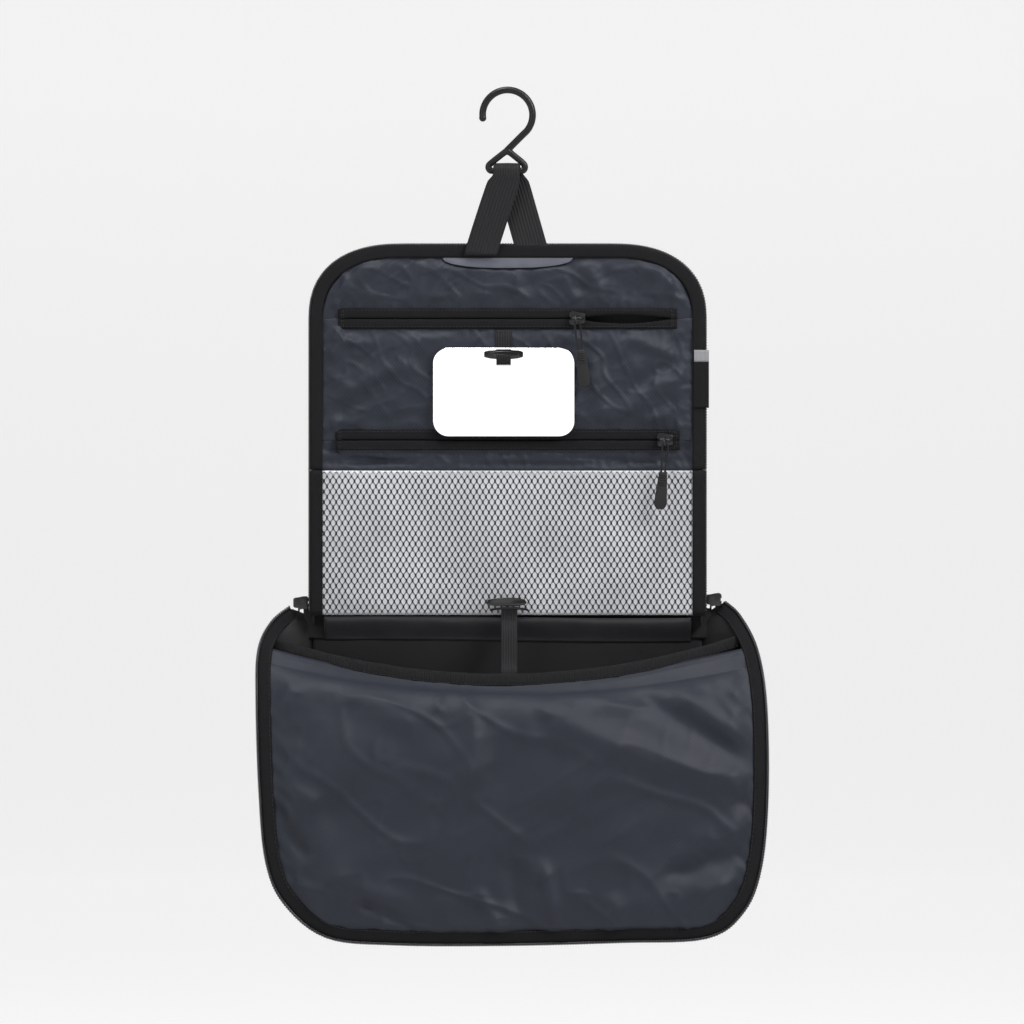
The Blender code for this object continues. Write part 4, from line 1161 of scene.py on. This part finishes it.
PANEL_FOLDS = [
    (27, -393, 150, -437, 9, 4.2), (58, -366, 153, -420, 7, -3.4), (104, -372, 146, -404, 8, 3.2),
    (128, -350, 150, -384, 6, 2.0), (98, -488, 150, -474, 6, -3.4), (54, -508, 138, -500, 11, 2.4),
    (112, -470, 154, -455, 8, 2.2), (-26, -372, -19, -437, 8, 2.6), (22, -480, 32, -525, 5, 3.0),
    (2, -478, 11, -527, 6, -2.4), (-18, -496, -3, -528, 4.5, 2.0), (-94, -502, -56, -521, 4.5, -3.2),
    (-112, -492, -58, -506, 8, 2.2), (-150, -440, -124, -477, 4.5, -3.0), (-152, -430, -116, -444, 6, 2.2),
    (-132, -440, -104, -492, 11, 2.4), (-150, -466, -132, -492, 4, -2.2), (82, -382, 34, -450, 15, 2.2),
    (-66, -384, -112, -440, 17, 2.4), (-118, -362, -150, -388, 6, 2.2), (40, -368, 22, -392, 5, 1.5),
    (-42, -370, -43, -388, 2.4, 1.8), (-84, -362, -96, -384, 5, 1.2), (10, -372, 14, -410, 7, 1.2),
    (70, -526, 62, -500, 6, 1.6), (-34, -527, -40, -500, 6, 1.4), (-120, -380, -60, -410, 10, -1.6),
    (124, -430, 152, -446, 6, -1.8), (-150, -404, -128, -412, 5, 1.4), (118, -500, 146, -492, 5, 1.6),
]


def beside(line, z):
    """The point of a line going down where it passes height z."""
    for a, b in zip(line, line[1:]):
        if a.z >= z > b.z:
            return a.lerp(b, (a.z - z) / (a.z - b.z))
    return line[0]


def front_panel():
    """The pouch's front: one cloth hung between the rim and the mouth, softly creased."""
    rim = rim_points(PANEL_INSET, 1.9)
    middle = len(rim) // 2
    sides = (rim[:middle], rim[middle:][::-1])
    rows = span_rows(rim, MOUTH_STEP, PANEL_COLUMNS, SAG_Z, SAG_Y, 4)
    top = mouth_line(PANEL_COLUMNS)
    made = []
    for n in range(4):
        row = [p + Vector((0, -0.2 - 0.35 * n, -5.6 - 1.5 * n)) for p in top]
        left, right = (beside(side, row[0].z) - end for side, end in zip(sides, (row[0], row[-1])))
        for k, p in enumerate(row):
            p += left * max(0.0, 1 - k / 30) ** 2 + right * max(0.0, 1 - (PANEL_COLUMNS - k) / 30) ** 2
        made.append(row)
    start = made[-1]
    for row in rows:
        if row[0].z > start[0].z - 1.2 or any(a.z > b.z - 0.6 for a, b in zip(row, start)):
            continue
        made.append(row)
    count = len(made)
    for _ in range(8):
        for n in range(1, 14):
            for a, p, b in zip(made[n - 1], made[n], made[n + 1]):
                p.y = (a.y + 2 * p.y + b.y) / 4
    final = []
    for n, row in enumerate(made):
        f = n / (count - 1)
        out = []
        for k, p in enumerate(row):
            edge = min(k, len(row) - 1 - k) / (len(row) - 1) * 300
            rim_hold = ease(edge / 16.0) * ease((1 - f) * 185 / 16.0)
            mouth_hold = ease((n - 2) / 14.0)
            hold = rim_hold * mouth_hold
            lift = 3.4 * hold
            lift += (2.6 * crumple(p.x, p.z, 36.0, 0.62, 2.0, 11.0) + 1.0 * crumple(p.x, p.z, 15.0, 0.5, 2.4, 12.0)
                     + 1.1 * sharp(p.x, p.z, 30.0, -0.6, 15.0) + 0.6 * sharp(p.x, p.z, 17.0, 0.9, 16.0)
                     + crease(p.x, p.z, PANEL_FOLDS)) * (0.15 + 0.85 * hold) * ease(edge / 3.0 + 0.05)
            from_rim = min(edge, (1 - f) * 185)
            lift += 1.7 * math.exp(-from_rim / 9.0) * ease(from_rim / 2.0) * crumple(
                p.x + p.z, 0 if from_rim == edge else p.x, 7.0, math.pi / 2, 1.6, 13.0)
            lift += 1.4 * math.exp(-n / 7.0) * ease(n / 3) * crumple(p.x, 0, 5.5, 0, 1.0, 14.0)
            out.append(tuple(p + Vector((0, -max(-0.6, lift), 0))))
        final.append(out)
    piece = sheet("front_cloth", final, 0.5, LINING, "pouch", planar=True, double=INNER)
    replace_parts(piece, "front_panel")


def mouth_line(columns):
    """The mouth's edge from rim to rim, its ends tucked behind the rim's tape."""
    row = span_rows(rim_points(MOUTH_INSET, 1.6), MOUTH_STEP, columns, SAG_Z, SAG_Y)[0]
    for k, p in enumerate(row):
        p.y += 2.0 * (1 - ease(min(k, columns - k) / columns * 290 / 8.0))
    return row


def mouth_binding():
    """Black binding folded over the panel's upper edge, slightly gathered."""
    top = mouth_line(220)
    section = ((0.75, -6.8), (0.8, -3.5), (0.55, -0.8), (0.0, 0.25), (-0.65, -0.3), (-1.15, -2.2), (-1.75, -4.6),
               (-2.0, -6.6), (-1.75, -8.0), (-1.25, -8.3))
    rows = []
    for dy, dz in section:
        row = []
        for k, p in enumerate(top):
            gather = (0.32 * crumple(p.x, dz, 2.6, math.pi / 2, 3.0, 21.0)
                      + 0.35 * crumple(p.x, dz, 7.0, math.pi / 2, 2.0, 22.0))
            side = 1.0 if dy < 0 else -0.4
            edge = min(k, len(top) - 1 - k) / 14.0
            row.append((p.x, p.y + dy - side * gather * ease(edge),
                        p.z + dz + 0.35 * crumple(p.x, 0, 12.0, 0, 1, 23.0)))
        rows.append(row)
    piece = sheet("mouth_edge", rows, 0.35, BINDING, "pouch")
    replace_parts(piece, "mouth_binding")
    line = [(r[0], r[1] - 0.05, r[2]) for r in rows[7]]
    stitches("mouth_seam", line, "pouch", stitch=1.9, gap=0.8)


def pouch_shell():
    """Side and bottom gusset and the back wall, pleated near the mouth's corners."""
    places = stations()
    rim = rim_points(2.3, 3.0)
    rows = []
    for n in range(15):
        share = n / 14
        row = []
        for k, (p, s) in enumerate(zip(rim, places)):
            back = Vector((s[3], BACK_Y - 0.3, s[4]))
            outward = Vector((s[0], 0, min(s[1] - HINGE_Z, 0.0))).normalized()
            back += outward * 0.9
            deep = min(1.0, max(0.0, s[2] - 10.0) / 30.0)
            bulge = 5.2 * math.sin(math.pi * min(1.0, share * 1.02) ** 0.8) * deep
            swell = math.sin(math.pi * share)
            soft = 1.3 * crumple(s[0] + s[1], s[2] * share * 2, 16.0, 0.4, 1.6, 31.0) * swell * deep
            corner = max(0.0, 1 - min(k, len(places) - 1 - k) / (3.2 * RIM_STEPS))
            pleat = 1.3 * math.sin(share * 19.0 + 2.0 * k / len(places)) * swell * corner * min(1.0, s[2] / 25.0)
            row.append(tuple(p.lerp(back, share) + outward * (bulge + soft - abs(pleat) * 1.2)))
        rows.append(row)
    gusset = sheet("pouch_gusset", rows, 0.8, OUTER, "pouch", double=INNER)
    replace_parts(gusset, "pouch_shell")
    outline = [Vector((s[3], BACK_Y - 0.9, s[4])) for s in places]
    rows = span_rows(outline, 0, 90)
    made = []
    for n, row in enumerate(rows):
        f = n / (len(rows) - 1)
        out = []
        for k, p in enumerate(row):
            edge = min(1.0, min(k, len(row) - 1 - k) / 6.0, (1 - f) * 9.0)
            push = (0.5 + 0.6 * crumple(p.x, p.z, 30.0, 0.7, 1.8, 33.0)) * ease(edge) * ease(f * 8)
            out.append((p.x, p.y + max(-0.2, push), p.z))
        made.append(out[::-1])
    back = sheet("pouch_back", made, 0.8, OUTER, "pouch", planar=True, double=INNER)
    seam = [(s[3], BACK_Y - 0.35, s[4]) for s in places[RIM_STEPS:-RIM_STEPS]]
    tube("pouch_back_piping", seam, 0.6, TAPE, "pouch", sides=8)


def rim_zip():
    """The perimeter zip's pouch side: tape round the rim, coil on its outer edge."""
    outer, inner = (rim_points(inset, 0.45) for inset in RIM_TAPE)
    rows = []
    for t, lift in ((1.0, 0.45), (0.88, 0.05), (0.7, -0.12), (0.5, -0.2), (0.3, -0.15), (0.12, 0.05), (0.0, 0.4)):
        rows.append([tuple(a.lerp(b, t) + Vector((0, lift - 0.1 + 0.15 * noise.noise(a * 0.09), 0)))
                     for a, b in zip(outer, inner)])
    piece = sheet("rim_tape", rows, 0.6, TAPE, "pouch")
    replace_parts(piece, "pouch_zip_tape")
    piece = coil("rim_coil", rim_points(0.35, 0.5), "pouch", radius=0.85, wire=0.36)
    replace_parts(piece, "pouch_zip_coil")
    seam = [tuple(p + Vector((0, -0.3, 0))) for p in rim_points(8.0, 0.45)]
    stitches("rim_seam", seam, "pouch")


def inner_band():
    """The coated grey hem under the mesh, sloping back to the pouch's back wall."""
    rows = []
    for t in spaced(0, 1, 0.08):
        rows.append([(x, 2.9 + 8.6 * ease(t * 0.95) + 0.45 * crumple(x, t * 14, 8.0, 0.1, 3.0, 41.0),
                      -329.9 - 15.5 * t - 0.8 * math.sin(x * 0.02)) for x in spaced(-116, 116, 2.4)])
    piece = sheet("inner_band", rows, 0.4, BAND, "pouch", planar=True)


def hinge_corners():
    """The lining's ends beside the hinge, closing the pouch's top corners."""
    for side, name in ((-1, "corner_left"), (1, "corner_right")):
        rows = [[(side * x, 11.4 - 0.8 * math.sin((x - 112) * 0.13) + 0.3 * crumple(x, z, 6.0, 0.5, 2.0, 51.0), z)
                 for x in spaced(112, 129, 1.5)] for z in spaced(-324.5, -344.0, 1.5)]
        if side < 0:
            rows = [row[::-1] for row in rows]
        piece = sheet(name, rows, 0.4, INNER, "pouch", planar=True)


def mouth_strap():
    """Webbing from the middle of the mouth up to the toggle held by the elastic loop."""
    mouth = mouth_line(14)[7]
    path = [(0, mouth.y - 0.3, mouth.z - 5.5), (0, mouth.y + 1.5, mouth.z - 1.0),
            (0, mouth.y + 2.6, mouth.z + 2.6), (0, mouth.y + 5.2, mouth.z + 8.0),
            (0, -12.0, -338.0), (0, -5.6, -331.0), (0, -3.4, -326.5), (0, -3.15, -323.4)]
    rows = [[(1.0 + 5.0 * (k / 8 - 1), p.y + 0.16 * math.cos(math.pi * (k / 16 - 0.5)), p.z) for k in range(17)]
            for p in catmull(path, 6)][::-1]
    piece = sheet("mouth_webbing", rows, 1.0, WEBBING)
    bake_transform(piece)
    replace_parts(piece, "toggle_strap")


front_panel()
mouth_binding()
pouch_shell()
rim_zip()
inner_band()
hinge_corners()
mouth_strap()


# --- stage ---
def stage():
    """A pale paper cove with lamps, and the camera that looks at the front."""
    world = bpy.data.worlds.new("studio")
    bpy.context.scene.world = world
    world.use_nodes = True
    light = world.node_tree.nodes["Background"]
    light.inputs["Color"].default_value = (1.0, 1.0, 1.0, 1.0)
    light.inputs["Strength"].default_value = 0.16
    bpy.context.scene.view_settings.view_transform = "Standard"
    turns = (math.pi / 2 * n / 24 for n in range(25))
    bend = [(3400 + 1200 * math.sin(a), -760 + 1200 * (1 - math.cos(a))) for a in turns]
    line = [(-6000, -760), *bend, (4600, 5500)]
    bm = bmesh.new()
    grid = [[bm.verts.new((x, y, z)) for x in (-7000, 7000)] for y, z in line]
    for a, b in zip(grid, grid[1:]):
        bm.faces.new((a[0], a[1], b[1], b[0]))
    mesh = finished(bm, "studio_cove")
    look = Look("studio_paper", (0.42, 0.42, 0.42), 0.9, specular=0.05)
    look.shader.inputs["Emission Color"].default_value = (1.0, 1.0, 1.0, 1.0)
    look.shader.inputs["Emission Strength"].default_value = 0.66
    mesh.materials.append(look.material)
    linked("studio_cove", mesh)
    for name, place, size, power, aim in (
        ("key", (1.0, -0.85, 0.7), 0.7, 26.0, (0, 0, -0.3)),
        ("fill", (-1.2, -1.2, 0.2), 1.0, 9.0, (0, 0, -0.28)),
        ("top", (-0.2, -0.4, 1.2), 0.6, 18.0, (0, 0, -0.3)),
        ("mirror_card", (0.0, -3.4, -0.1), 0.8, 2.4, (0, 0, -0.1)),
    ):
        light = bpy.data.lights.new(name, "AREA")
        light.size = size
        light.energy = power
        lamp = linked(name, light)
        lamp.location = place
        lamp.rotation_euler = (Vector(aim) - Vector(place)).to_track_quat("-Z", "Y").to_euler()
    camera_data = bpy.data.cameras.new("camera")
    camera_data.lens = 167.4
    camera_data.sensor_width = 36.0
    camera_data.clip_end = 60.0
    camera = linked("camera", camera_data)
    camera.location = (0.0028, -3.0, -0.2637)
    camera.rotation_euler = (math.pi / 2, 0, 0)
    bpy.context.scene.camera = camera


stage()
bpy.context.view_layer.update()
